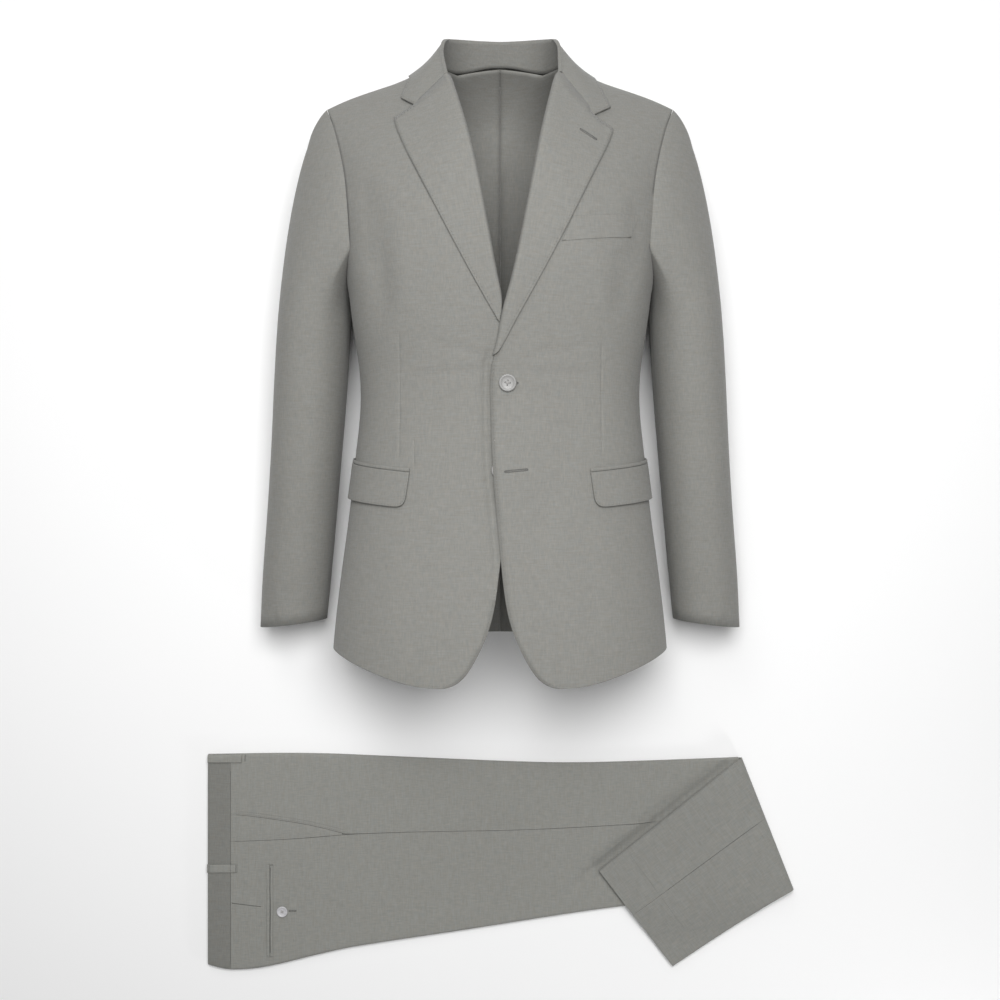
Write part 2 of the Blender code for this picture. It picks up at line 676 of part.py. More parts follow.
def sleeve(q, s):
    """Sleeve surface: s runs 0 at the armhole, 1 at the underarm level, 2 at the cuff."""
    start, body = armhole_ring(q)
    top_level, cuff_level = SLEEVE_SECTIONS[0][0], SLEEVE_SECTIONS[-1][0]
    first = sleeve_ring(q, np.full_like(q, top_level))
    gap = first - start
    length = np.linalg.norm(gap, axis=-1, keepdims=True)
    swing = 2 * math.pi * q
    lean = np.stack([0.60 + 0.15 * np.cos(swing), -0.72 + 0.12 * np.cos(swing),
                     0.16 * np.sin(swing)], axis=-1)
    leave = unit(lean) * length * HEAD_PUFF
    down = np.array([0.07, -1.0, -0.08]) * length
    t = np.clip(s, 0.0, 1.0)[..., None]
    head = (2 * t ** 3 - 3 * t ** 2 + 1) * start + (t ** 3 - 2 * t ** 2 + t) * leave
    head = head + (3 * t ** 2 - 2 * t ** 3) * first + (t ** 3 - t ** 2) * down
    lower_level = top_level + np.clip(s - 1, 0.0, 1.0) * (cuff_level - top_level)
    lower = sleeve_ring(q, lower_level)
    return np.where((s <= 1)[..., None], head, lower)


def sleeve_normal(q, s):
    step = 0.004
    around = sleeve(q + step, s) - sleeve(q - step, s)
    along = sleeve(q, np.minimum(s + step, 2.0)) - sleeve(q, np.maximum(s - step, 0.0))
    return unit(np.cross(around, along))


def sleeve_piece(name, q_values, side):
    s_values = np.concatenate([[0, 0.05, 0.13, 0.25, 0.40, 0.58, 0.78], np.linspace(1.0, 2.0, 7)])
    qq, ss = np.meshgrid(q_values, s_values)
    outer = sleeve(qq, ss)
    normals = sleeve_normal(qq, ss)
    body = armhole_ring(q_values)[1]
    ring_step = armhole_ring(q_values + 0.004)[0] - armhole_ring(q_values - 0.004)[0]
    away = unit(np.cross(body, unit(ring_step)))
    away = away * np.sign(away[:, :1] + 1e-9)
    agree = ease(np.sum(body * normals[0], axis=-1) / 0.7)[:, None]
    normals[0] = unit(body * agree + normals[0] * (1 - agree))
    outward = unit(away * agree + np.array([1.0, 0.0, 0.0]) * (1 - agree))
    fade = np.clip(1 - s_values / 0.3, 0.0, 1.0)[:, None, None]
    outer = outer + outward[None] * (SEAM + 0.0002) * fade
    return shell(name, outer, wall_below(outer, normals), mirror=side < 0)


SLEEVE_SEAM_STEP = SEAM / 2 / SLEEVE_GIRTH
ring_share = armhole_path()[1]
seam_front, seam_back = [ring_share[np.argmin(np.abs(ring_share - seam))] for seam in SLEEVE_SEAMS]
before_tip = ring_share[(ring_share > seam_back) & (ring_share < 1.0)] - 1
after_tip = ring_share[(ring_share >= 0.0) & (ring_share < seam_front)]
between = ring_share[(ring_share > seam_front) & (ring_share < seam_back)]
top_columns = np.concatenate([[seam_back - 1 + SLEEVE_SEAM_STEP], before_tip, after_tip,
                              [seam_front - SLEEVE_SEAM_STEP]])
under_columns = np.concatenate([[seam_front + SLEEVE_SEAM_STEP], between,
                                [seam_back - SLEEVE_SEAM_STEP]])
for label, side in (("left", 1), ("right", -1)):
    sleeve_piece("sleeve_%s_top" % label, top_columns, side)
    sleeve_piece("sleeve_%s_under" % label, under_columns, side)


# Collar: one folded strip, stand inside and fall outside
def collar_rows(front_rows, tip, notch, gorge, side):
    """Stations from the gorge to the centre back, as point tables."""
    roll = over_front(np.array(gorge[0]), np.array(gorge[1]), side, LAPEL_HEIGHT + 0.003)
    middle = over_front(np.array(notch[0] + 0.0005), np.array(notch[1] + 0.0008), side,
                        LAPEL_HEIGHT)
    end = over_front(np.array(tip[0]), np.array(tip[1]), side, LAPEL_HEIGHT + 0.0005)
    rows = [tuple(roll) + tuple(middle) + tuple(end) + (-0.95,)]
    return rows + front_rows + COLLAR_BACK


def neck_line(share, table):
    """Collar seam on the body: -1 top of the roll, 0 shoulder seam, 1 centre back."""
    neck_x, neck_level = table[-1][1:]
    ahead = np.clip(-share, 0.0, 1.0)
    front_x = smooth(table, 1, SHOULDER_TIP[1] - NECK_DROP * ahead)
    front_y = smooth(table, 2, SHOULDER_TIP[1] - NECK_DROP * ahead)
    front_turn = turn_of(front_x, front_y)
    inner = np.clip(share, 0.0, 1.0)
    back_x = neck_x * (1 - inner)
    back_y = BACK_NECK + (neck_level - BACK_NECK) * np.cos(inner * math.pi / 2) ** 2
    back_turn = turn_of(back_x, back_y, True)
    turn = np.where(share < 0, front_turn, back_turn)
    level = np.where(share < 0, front_y, back_y)
    point = torso(turn, level)
    direction = torso_normal(turn, level)
    near = np.exp(-(share / 0.15) ** 2)[:, None]
    direction = unit(direction * (1 - near) + np.array([0.55, 0.80, 0.0]) * near)
    return point, direction


def station_curve(rows, at):
    """Smooth the stations of one collar half."""
    table = [(i,) + tuple(row) for i, row in enumerate(rows)]
    return [smooth(table, k, at) for k in range(1, 11)]


def collar_half(front_rows, tip, notch, gorge, side):
    rows = collar_rows(front_rows, tip, notch, gorge, side)
    at = np.array([0, 0.4, 1.0, 1.5, 2.0, 2.5, 3.0, 3.6, 4.2, 4.8, 5.4, 6.0, 6.5, 7.0])
    values = station_curve(rows, at)
    fold = np.stack(values[0:3], -1)
    middle = np.stack(values[3:6], -1)
    edge = np.stack(values[6:9], -1)
    table = FRONT_EDGE_LEFT if side > 0 else FRONT_EDGE_RIGHT
    neck, neck_normal = neck_line(values[9], table)
    outward = unit(middle - fold)
    along = unit(np.gradient(fold, axis=0))
    upward = unit(np.cross(along, outward))
    upward = upward * np.sign(np.sum(upward * np.array([0.0, 1.0, 0.35]), axis=-1, keepdims=True))
    inward = unit(np.cross(along, upward))
    inward = inward * -np.sign(np.sum(inward * outward, axis=-1, keepdims=True))
    lead = unit(fold - neck)
    base = neck - neck_normal * CLOTH * 0.6 + lead * STAND_GAP
    crest = fold - upward * 0.0030 + inward * 0.0002
    fan = [base, base + (crest - base) * 0.5 + inward * 0.0006, crest]
    fan.append(fold - inward * 0.0022 + upward * 0.0008)
    fan.append(fold - inward * 0.0050 - upward * 0.0010)
    for u in COLLAR_U:
        straight = fold - inward * 0.0050
        weight = np.where(at < 0.9, 1 - at / 0.9, 0.0)[:, None]
        w0 = (u - 0.6) * (u - 1.0) / 0.6
        w1 = u * (u - 1.0) / (0.6 * -0.4)
        w2 = u * (u - 0.6) / 0.4
        bent = w0 * straight + w1 * middle + w2 * edge
        first = straight + (middle - straight) * min(u / 0.6, 1.0)
        flat = first + (edge - middle) * max((u - 0.6) / 0.4, 0.0)
        fan.append(bent * (1 - weight) + flat * weight)
    grid = np.stack(fan, axis=1)
    if side < 0:
        grid = grid * np.array([-1.0, 1.0, 1.0])
    return grid


left_half = collar_half(COLLAR_LEFT_FRONT, COLLAR_TIP_LEFT, NOTCH_LEFT, (0.0700, 0.5262), 1)
right_half = collar_half(COLLAR_RIGHT_FRONT, COLLAR_TIP_RIGHT, NOTCH_RIGHT, (0.0625, 0.5208), -1)
collar_grid = np.concatenate([left_half, right_half[::-1][1:]], axis=0)
collar_normals = grid_normals(collar_grid)
if collar_normals[len(left_half) // 2, -2, 0] < 0:
    collar_normals = -collar_normals
shell("collar", collar_grid, wall_below(collar_grid, collar_normals, COLLAR_WALL))


# Pieces that lie on the fronts
def on_front(name, turn, level, height, wall, side):
    """Thin piece made from a front's own points, moved out."""
    point = torso(turn, level)
    normal = torso_normal(turn, level)
    outer = point + normal * (height + wall)[..., None]
    inner = point + normal * height[..., None]
    return shell(name, outer, inner, mirror=side < 0)


def hip_pocket(label, side):
    front_turn = float(turn_of(np.array(FLAP_TOP_FRONT[0]), np.array(FLAP_TOP_FRONT[1])))
    corner = FLAP_CORNER / FLAP_LENGTH
    u = np.concatenate([np.array([0.0, 0.15, 0.5, 1.0]) * corner, np.linspace(0.17, 1.0, 9)])
    v = np.array([0.0, 0.15, 0.4, 0.7, 0.9, 1.0])
    top = FLAP_TOP_FRONT[1] + u * (FLAP_TOP_SIDE - FLAP_TOP_FRONT[1])
    depth = FLAP_DEPTH_FRONT + u * (FLAP_DEPTH_SIDE - FLAP_DEPTH_FRONT)
    curl = np.clip(1 - u / corner, 0.0, 1.0)
    depth = depth - FLAP_CORNER * (1 - np.sqrt(1 - curl ** 2))
    turn = front_turn + u * (FLAP_TOP_SIDE_TURN - front_turn)
    uu, vv = np.meshgrid(u, v)
    level = top[None] - depth[None] * vv
    turns = np.repeat(turn[None], len(v), axis=0) + 0.010 * vv * (1 - uu)
    height = SEAM + 0.0005 + FLAP_PROUD * vv
    on_front("flap_" + label, turns, level, height, np.full_like(uu, CLOTH), side)
    strip = np.array([0.0, 0.5, 1.0])
    uu, vv = np.meshgrid(u, strip)
    level = top[None] + SEAM + 0.0002 + (JETTING_WIDTH - SEAM) * vv
    turns = np.repeat(turn[None], 3, axis=0)
    wall = 0.0012 + 0.0008 * np.sin(vv * math.pi)
    on_front("jetting_" + label, turns, level, np.full_like(uu, SEAM + 0.0005), wall, side)


hip_pocket("left", 1)
hip_pocket("right", -1)

welt_u, welt_v = np.meshgrid(np.linspace(0, 1, 8), np.linspace(0, 1, 4))
corners = np.array(BREAST_WELT)
welt_spot = ((1 - welt_u) * (1 - welt_v))[..., None] * corners[0]
welt_spot = welt_spot + (welt_u * (1 - welt_v))[..., None] * corners[1]
welt_spot = welt_spot + (welt_u * welt_v)[..., None] * corners[2]
welt_spot = welt_spot + ((1 - welt_u) * welt_v)[..., None] * corners[3]
welt_turn = turn_of(welt_spot[..., 0], welt_spot[..., 1])
on_front("breast_welt", welt_turn, welt_spot[..., 1], np.full_like(welt_u, SEAM + 0.0002),
         np.full_like(welt_u, BREAST_WALL), 1)


# Buttons
def button(name, centre, normal, radius, wall):
    """Round button with a raised rim, standing on its surface."""
    sides = 16
    normal = unit(np.array(normal, float))
    right = unit(np.cross(np.array([0.0, 1.0, 0.0]), normal))
    up = np.cross(normal, right)
    points, faces = [], []
    for out, rise in BUTTON_PROFILE:
        for k in range(sides):
            angle = k * 2 * math.pi / sides
            spoke = right * math.cos(angle) + up * math.sin(angle)
            points.append(centre + spoke * out * radius + normal * rise * wall)
    for i in range(len(BUTTON_PROFILE) - 1):
        for k in range(sides):
            a, b = i * sides + k, i * sides + (k + 1) % sides
            faces.append((a, b, b + sides, a + sides))
    faces.append(tuple(range(sides))[::-1])
    faces.append(tuple((len(BUTTON_PROFILE) - 1) * sides + k for k in range(sides)))
    return add_object(name, points, faces, BUTTON_COLOUR, 0.35)


def front_button(name, spot, side):
    x, y = np.array(spot[0] * side), np.array(spot[1])
    base = over_front(x, y, side, 0.0)
    normal = torso_normal(turn_of(x, y), y)
    mirror = np.array([float(side), 1.0, 1.0])
    centre = (base + normal * BUTTON_STAND) * mirror
    button(name, centre, normal * mirror, FRONT_BUTTON_RADIUS, FRONT_BUTTON_WALL)


front_button("button_front_upper", UPPER_BUTTON, 1)
front_button("button_front_lower", LOWER_BUTTON, -1)


# Trousers: outlines and seams of the folded legs as (x, y)
LEG_TOP_EDGE = [
    (-0.3995, -0.3475),
    (-0.2613, -0.3461),
    (-0.1368, -0.3509),
    (0.0000, -0.3570),
    (0.0821, -0.3598),
    (0.2052, -0.3564),
    (0.3311, -0.3516),
]
LEG_BOTTOM_EDGE = [
    (-0.3995, -0.6361),
    (-0.3830, -0.6410),
    (-0.3673, -0.6430),
    (-0.3434, -0.6430),
    (-0.3160, -0.6389),
    (-0.2832, -0.6306),
    (-0.2353, -0.6183),
    (-0.1532, -0.6040),
    (0.0000, -0.5814),
    (0.0821, -0.5672),
    (0.1751, -0.5547),
    (0.4016, -0.5308),
]
SIDE_SEAM = [
    (-0.3995, -0.4680),
    (-0.3659, -0.4665),
    (-0.2722, -0.4624),
    (-0.2107, -0.4569),
    (-0.0999, -0.4528),
    (0.0000, -0.4520),
    (0.0821, -0.4487),
    (0.2175, -0.4405),
    (0.3660, -0.4290),
]
POCKET_MOUTH = [
    (-0.3659, -0.4296),
    (-0.3352, -0.4323),
    (-0.3023, -0.4375),
    (-0.2353, -0.4487),
    (-0.2107, -0.4569),
]
WAIST_END = -0.3995
WAIST_SEAM = -0.3682
FOLD_TOP = (0.3311, -0.3516)
FOLD_BOTTOM = (0.4016, -0.5308)
FOLD_MARGIN = 0.0100

# Heights of the folded layers
LEG_HEIGHT = 0.0095
CREASE_RADIUS = 0.0045
CORE_HEIGHT = 0.0072
# Rolled, layered edge of the hidden layers: height, set in from the outline
CORE_EDGE = [
    (0.0000, 0.0028),
    (0.0009, 0.0010),
    (0.0024, 0.0005),
    (0.0039, 0.0010),
    (0.0046, 0.0030),
    (0.0052, 0.0034),
    (0.0064, 0.0042),
    (0.0072, 0.0076),
]

# The turned end: corners of its outline and its seam
TURN_HEIGHT = 0.0188
TURN_CORE = (0.0100, 0.0162)
TURN_CORE_EDGE = [
    (0.0000, 0.0040),
    (0.0008, 0.0014),
    (0.0022, 0.0006),
    (0.0036, 0.0014),
    (0.0042, 0.0036),
    (0.0056, 0.0042),
]
HEM_TOP = (0.1347, -0.5039)
HEM_BOTTOM = (0.2367, -0.6379)
TURN_WIDTH = 0.180
HEM_WIDTH = 0.168
TURN_SEAM_SHARE = (0.47, 0.53)
BEND_RADIUS = 0.0093
BEND_ANGLES = (-60, -25, 10, 45, 90)
TURN_SAG = 0.0080
SAG_REACH = 0.050

# Back pocket, belt loops and the small button
BACK_POCKET_X = (-0.3187, -0.3148, -0.3143, -0.3104)
BACK_POCKET_Y = (-0.6231, -0.4979)
FRONT_LOOP = (-0.3995, -0.3532, -0.3583, -0.3478)
SIDE_LOOP = (-0.4003, -0.3591, -0.5086, -0.4977)
SMALL_BUTTON = (-0.2976, -0.5622)
SMALL_BUTTON_RADIUS = 0.0074
SMALL_BUTTON_WALL = 0.0026
TRIM_WALL = 0.0012
LOOP_WALL = 0.0016


def edge_y(table, x):
    return smooth(table, 1, x)


def leg_surface(x, y):
    """Height of the folded legs' outer face."""
    inside = np.minimum(edge_y(LEG_TOP_EDGE, x) - y, y - edge_y(LEG_BOTTOM_EDGE, x))
    share = np.clip(inside / CREASE_RADIUS, 0.0, 1.0)
    return LEG_HEIGHT - CREASE_RADIUS * (1 - np.sqrt(np.maximum(1 - (1 - share) ** 2, 0.0)))


CREASE_ANGLES = (0, 30, 60, 90)


def ruled_sheet(name, low, high, low_crease, high_crease, rows, height, wall=CLOTH):
    """Flat sheet between two edge curves, with its creased edges rolled down."""
    across = unit(high - low)
    down = np.zeros_like(across)
    low3 = np.concatenate([low, np.full((len(low), 1), height)], axis=-1)
    high3 = np.concatenate([high, np.full((len(high), 1), height)], axis=-1)
    across = np.concatenate([across, down[:, :1]], axis=-1)
    outer, inner = [], []

    def crease(edge, inward, angles):
        for degrees in angles:
            angle = math.radians(degrees)
            out = CREASE_RADIUS * (1 - math.cos(angle))
            drop = CREASE_RADIUS * (1 - math.sin(angle))
            point = edge + inward * out - np.array([0.0, 0.0, drop])
            outer.append(point)
            inner.append(point + inward * wall * math.cos(angle)
                         - np.array([0.0, 0.0, wall * math.sin(angle)]))

    start, end = low3, high3
    if low_crease:
        crease(low3, across, CREASE_ANGLES[:-1])
        start = low3 + across * CREASE_RADIUS
    if high_crease:
        end = high3 - across * CREASE_RADIUS
    for share in np.linspace(0, 1, rows):
        point = start + (end - start) * share
        outer.append(point)
        inner.append(point - np.array([0.0, 0.0, wall]))
    if high_crease:
        crease(high3, -across, CREASE_ANGLES[:-1][::-1])
    return shell(name, np.stack(outer), np.stack(inner), colour=TROUSER_COLOUR)


def along_edge(table, x):
    return np.stack([x, edge_y(table, x)], axis=-1)


def shifted(points, amount):
    return points + np.array([0.0, amount])


fold_slope = (FOLD_BOTTOM[0] - FOLD_TOP[0]) / (FOLD_BOTTOM[1] - FOLD_TOP[1])


def fold_x(y, margin):
    """The fold line's x at a level, moved in by a margin."""
    return FOLD_TOP[0] + (y - FOLD_TOP[1]) * fold_slope - margin * 1.08


def front_low_edge(x):
    """Lower edge of the front panel: pocket mouth, then side seam."""
    mouth = edge_y(POCKET_MOUTH, x)
    seam = edge_y(SIDE_SEAM, x)
    return np.stack([x, np.where(x < POCKET_MOUTH[-1][0], mouth, seam)], axis=-1)


pocket_share = np.array([0, 0.04, 0.09, 0.15, 0.212])
leg_share = np.array([*pocket_share, 0.2203, 0.30, 0.42, 0.54, 0.66, 0.78, 0.90, 1.0])
waist_x = WAIST_SEAM + SEAM / 2
seam_end = fold_x(-0.430, FOLD_MARGIN)
top_end = fold_x(FOLD_TOP[1] - 0.004, FOLD_MARGIN)
bottom_end = fold_x(FOLD_BOTTOM[1] + 0.004, FOLD_MARGIN)
low_x = waist_x + leg_share * (seam_end - waist_x)
high_x = waist_x + leg_share * (top_end - waist_x)
ruled_sheet("leg_front_panel", shifted(front_low_edge(low_x), SEAM / 2),
            along_edge(LEG_TOP_EDGE, high_x), False, True, 5, LEG_HEIGHT)
low_x = waist_x + leg_share * (bottom_end - waist_x)
high_x = waist_x + leg_share * (seam_end - waist_x)
ruled_sheet("leg_back_panel", along_edge(LEG_BOTTOM_EDGE, low_x),
            shifted(along_edge(SIDE_SEAM, high_x), -SEAM / 2), True, False, 5, LEG_HEIGHT)
piece_x = waist_x + pocket_share * (seam_end - waist_x)
ruled_sheet("pocket_front_piece", shifted(along_edge(SIDE_SEAM, piece_x), SEAM / 2),
            shifted(along_edge(POCKET_MOUTH, piece_x), -SEAM / 2), False, False, 3, LEG_HEIGHT)
band_x = np.linspace(WAIST_END, WAIST_SEAM - SEAM / 2, 4)
ruled_sheet("waistband", along_edge(LEG_BOTTOM_EDGE, band_x), along_edge(LEG_TOP_EDGE, band_x),
            True, True, 7, LEG_HEIGHT)


def outline_stack(name, outline, edge):
    """Closed flat solid from one outline, set in by an amount at each height."""
    before, after = np.roll(outline, 1, axis=0), np.roll(outline, -1, axis=0)
    tangent = unit(unit(outline - before) + unit(after - outline))
    inward = np.stack([-tangent[:, 1], tangent[:, 0]], axis=-1)
    count = len(outline)
    points, faces = [], []
    for height, inset in edge:
        ring = outline + inward * inset
        points += [(x, y, height) for x, y in ring]
    for i in range(len(edge) - 1):
        for k in range(count):
            a, b = i * count + k, i * count + (k + 1) % count
            faces.append((a, b, b + count, a + count))
    faces.append(tuple(range(count))[::-1])
    faces.append(tuple((len(edge) - 1) * count + k for k in range(count)))
    return add_object(name, points, faces, TROUSER_COLOUR)


core_bottom = along_edge(LEG_BOTTOM_EDGE, np.concatenate([
    np.linspace(WAIST_END + 0.003, -0.15, 9), np.linspace(-0.10, fold_x(-0.530, 0.013), 6)]))
core_top = along_edge(LEG_TOP_EDGE, np.concatenate([
    np.linspace(fold_x(-0.352, 0.013), -0.10, 6), np.linspace(-0.15, WAIST_END + 0.003, 6)]))
core_right = np.array([[fold_x(y, 0.011), y] for y in (-0.522, -0.480, -0.440, -0.400, -0.360)])
core_left = np.array([[WAIST_END + 0.0005, y] for y in (-0.352, -0.400, -0.490, -0.580, -0.630)])
core_outline = np.concatenate([core_bottom, core_right, core_top, core_left])
outline_stack("leg_inner_layers", core_outline, CORE_EDGE)


# The leg ends, turned back over the legs along the fold line
def turned_point(along, across):
    """Spot on the turned end: along 0 fold to 1 hem, across 0 lower to 1 upper edge."""
    corners = [np.array(c) for c in (FOLD_BOTTOM, HEM_BOTTOM, HEM_TOP, FOLD_TOP)]
    a, b = np.asarray(along)[..., None], np.asarray(across)[..., None]
    low = corners[0] + a * (corners[1] - corners[0])
    high = corners[3] + a * (corners[2] - corners[3])
    return low + b * (high - low)


def sag(spot):
    beyond = edge_y(LEG_BOTTOM_EDGE, spot[..., 0]) - spot[..., 1]
    return TURN_SAG * ease((beyond - 0.004) / SAG_REACH)


TURN_STATIONS = (0.0, 0.12, 0.26, 0.42, 0.60, 0.80, 1.0)
fold_direction = unit(np.array(FOLD_BOTTOM) - np.array(FOLD_TOP))
fold_away = np.array([-fold_direction[1], fold_direction[0]])
fold_away = fold_away * np.sign(fold_away[0])


def turned_sheet(name, across_values, creased_low):
    """Visible half of the turned end, bent down round the fold line."""
    outer_rows, inner_rows = [], []
    away = fold_away
    edge_count = len(CREASE_ANGLES) - 1
    angle_list = [(a, True) for a in BEND_ANGLES[:-1]]
    shares = [(s, False) for s in TURN_STATIONS]
    for value, bend in angle_list + shares:
        share = 0.0 if bend else value
        spot = turned_point(np.full(len(across_values), share), across_values)
        spot = spot - away * BEND_RADIUS * (1 - share)
        height = np.full(len(across_values), TURN_HEIGHT) - sag(spot)
        inner_drop = np.full(len(across_values), CLOTH)
        slide = np.zeros((len(across_values), 2))
        if bend:
            angle = math.radians(value)
            spot = spot + away * BEND_RADIUS * math.cos(angle)
            height = height - BEND_RADIUS * (1 - math.sin(angle))
            inner_drop = inner_drop * math.sin(angle)
            slide = slide - away * CLOTH * math.cos(angle)
        outer = np.concatenate([spot, height[:, None]], axis=-1)
        inner = np.concatenate([spot + slide, (height - inner_drop)[:, None]], axis=-1)
        fade = 0.0 if bend else float(ease(np.array((share - 0.02) / 0.10)))
        order = range(edge_count) if creased_low else range(len(across_values) - 1, -1, -1)
        inward = unit(turned_point(share, 1.0) - turned_point(share, 0.0))
        inward = inward if creased_low else -inward
        for step, column in zip(range(edge_count), order):
            roll = math.radians(CREASE_ANGLES[step])
            drop = CREASE_RADIUS * (1 - math.sin(roll)) * fade
            outer[column, 2] -= drop
            mixed = roll * fade + math.pi / 2 * (1 - fade)
            if not bend:
                inner[column, :2] = outer[column, :2] + inward * CLOTH * math.cos(mixed)
                inner[column, 2] = outer[column, 2] - CLOTH * math.sin(mixed)
        outer_rows.append(outer)
        inner_rows.append(inner)
    return shell(name, np.stack(outer_rows), np.stack(inner_rows), colour=TROUSER_COLOUR)


def crease_shares():
    return [CREASE_RADIUS * (1 - math.cos(math.radians(a))) / TURN_WIDTH for a in CREASE_ANGLES]


seam_mid = sum(TURN_SEAM_SHARE) / 2
half_gap = SEAM / 2 / HEM_WIDTH
low_half = np.concatenate([crease_shares(), np.linspace(0.10, seam_mid - half_gap, 5)])
high_half = np.concatenate([np.linspace(seam_mid + half_gap, 0.90, 5),
                            1 - np.array(crease_shares())[::-1]])
turned_sheet("turned_back_panel", low_half, True)
turned_sheet("turned_front_panel", high_half, False)


def turned_core():
    """Hidden layers of the turned end as one rounded, layered solid."""
    base, crown = TURN_CORE
    low = [(inset, base + rise) for rise, inset in TURN_CORE_EDGE]
    shares = np.concatenate([low_half[4:-1], [seam_mid], high_half[1:5]])
    ring = [(s, 0.0, base) for s in shares]
    ring += [(1 - inset / TURN_WIDTH, 0.0, height) for inset, height in low]
    ring += [(s, 0.0, crown) for s in shares[::-1]]
    ring += [(inset / TURN_WIDTH, 0.0, height) for inset, height in low[::-1]]
    count = len(ring)
    points, faces = [], []
    stations = TURN_STATIONS[:-1] + (0.985,)
    for station in stations:
        across = np.array([r[0] for r in ring])
        spot = turned_point(np.full(count, station), across) - fold_away * BEND_RADIUS * (1 - station)
        height = np.array([r[2] for r in ring]) - sag(spot)
        points += [tuple(row) for row in np.concatenate([spot, height[:, None]], axis=-1)]
    for i in range(len(stations) - 1):
        for k in range(count):
            a, b = i * count + k, i * count + (k + 1) % count
            faces.append((a, b, b + count, a + count))
    middle = len(shares)
    for first, flip in ((0, False), ((len(stations) - 1) * count, True)):
        cap = [first + k for k in range(count)]
        lows = cap[:middle]
        highs = cap[middle + len(low):2 * middle + len(low)][::-1]
        strips = [(lows[k], lows[k + 1], highs[k + 1], highs[k]) for k in range(middle - 1)]
        right = cap[middle - 1:middle + len(low) + 1]
        left = cap[2 * middle + len(low) - 1:] + cap[:1]
        for strip in strips + [tuple(right), tuple(left)]:
            faces.append(tuple(strip) if flip else tuple(strip)[::-1])
    return add_object("turned_inner_layers", points, faces, TROUSER_COLOUR)


turned_core()


# Trim on the trousers
def trim_strip(name, box, lift, wall, rows=3, columns=3, rounded=0.0):
    """Thin strip on the legs' outer face: box is x low, x high, y low, y high."""
    u, v = np.meshgrid(np.linspace(0, 1, columns), np.linspace(0, 1, rows))
    x, y = box[0] + u * (box[1] - box[0]), box[2] + v * (box[3] - box[2])
    base = leg_surface(x, y) + lift
    crown = wall + rounded * np.sin(u * math.pi) * np.sin(v * math.pi)
    outer = np.stack([x, y, base + crown], axis=-1)
    inner = np.stack([x, y, base], axis=-1)
    return shell(name, outer, inner, colour=TROUSER_COLOUR)


low_y, high_y = BACK_POCKET_Y
trim_strip("back_pocket_welt_upper", (*BACK_POCKET_X[:2], low_y, high_y), SEAM, TRIM_WALL, 4, 3, 0.0005)
trim_strip("back_pocket_welt_lower", (*BACK_POCKET_X[2:], low_y, high_y), SEAM, TRIM_WALL, 4, 3, 0.0005)
trim_strip("belt_loop_front", FRONT_LOOP, SEAM + 0.0003, LOOP_WALL, 8, 5, 0.0004)
trim_strip("belt_loop_side", SIDE_LOOP, SEAM, LOOP_WALL, 4, 5, 0.0004)
button("button_back_pocket", np.array([*SMALL_BUTTON, LEG_HEIGHT + SEAM + 0.0002]), (0.0, 0.0, 1.0),
       SMALL_BUTTON_RADIUS, SMALL_BUTTON_WALL)


# Bring the middle of the whole set to the origin
corners = [made.matrix_world @ vertex.co for made in bpy.data.objects for vertex in made.data.vertices]
middle = [(min(c[k] for c in corners) + max(c[k] for c in corners)) / 2 for k in (0, 1)]
for made in bpy.data.objects:
    for vertex in made.data.vertices:
        vertex.co.x -= middle[0]
        vertex.co.y -= middle[1]
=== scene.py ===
"""Looks of a two-piece suit: a filled-out jacket lying on its back above its folded trousers.

Units are metres in the shared frame: +X towards the wearer's left sleeve, +Y towards the collar
and +Z up from the surface that both garments lie on.
"""
import math

import bmesh
import bpy
import numpy as np
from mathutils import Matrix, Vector
from mathutils.bvhtree import BVHTree


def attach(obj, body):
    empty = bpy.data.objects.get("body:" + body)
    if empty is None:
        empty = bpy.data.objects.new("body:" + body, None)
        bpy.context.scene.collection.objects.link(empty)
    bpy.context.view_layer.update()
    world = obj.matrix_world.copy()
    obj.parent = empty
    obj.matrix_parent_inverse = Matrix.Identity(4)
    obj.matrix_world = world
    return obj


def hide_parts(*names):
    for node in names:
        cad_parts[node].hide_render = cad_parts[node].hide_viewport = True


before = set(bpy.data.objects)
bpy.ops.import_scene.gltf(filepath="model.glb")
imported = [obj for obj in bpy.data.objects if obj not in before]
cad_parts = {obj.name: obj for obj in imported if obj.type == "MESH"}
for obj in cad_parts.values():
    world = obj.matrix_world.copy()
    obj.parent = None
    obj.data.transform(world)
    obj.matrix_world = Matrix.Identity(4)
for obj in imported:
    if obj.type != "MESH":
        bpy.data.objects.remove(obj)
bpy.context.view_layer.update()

# Jacket body: two fronts, two side bodies and two back halves
# Pale grey plain-weave suiting with faint slubs, cut in panels and seamed. It is filled out as on
# a figure, so its wall is a rounded sheet with soft drape folds where the cloth hangs free.
JACKET_TINT = (0.229, 0.2268, 0.2105)
# Weave: gap between threads, then streaks a metre (x, y, z) along the warp, along the weft and of
# the broad clouds, and the share of each in the shade
THREAD_GAP = 0.00055
WARP_STREAKS, WEFT_STREAKS, CLOUDS = (640.0, 90.0, 640.0), (80.0, 640.0, 80.0), (8.0, 6.0, 8.0)
SLUB_SHARE, CLOUD_SHARE, CAST_SHARE = 0.30, 0.05, 0.09
CROSSING_RELIEF = 0.25
WEAVE_ROUGHNESS, ROUGHNESS_SPREAD = 0.86, -0.25


def socket(group, name, kind, way="INPUT", value=None):
    """Add a named input or output to a node group."""
    opening = group.interface.new_socket(name=name, in_out=way, socket_type="NodeSocket" + kind)
    if value is not None:
        opening.default_value = value


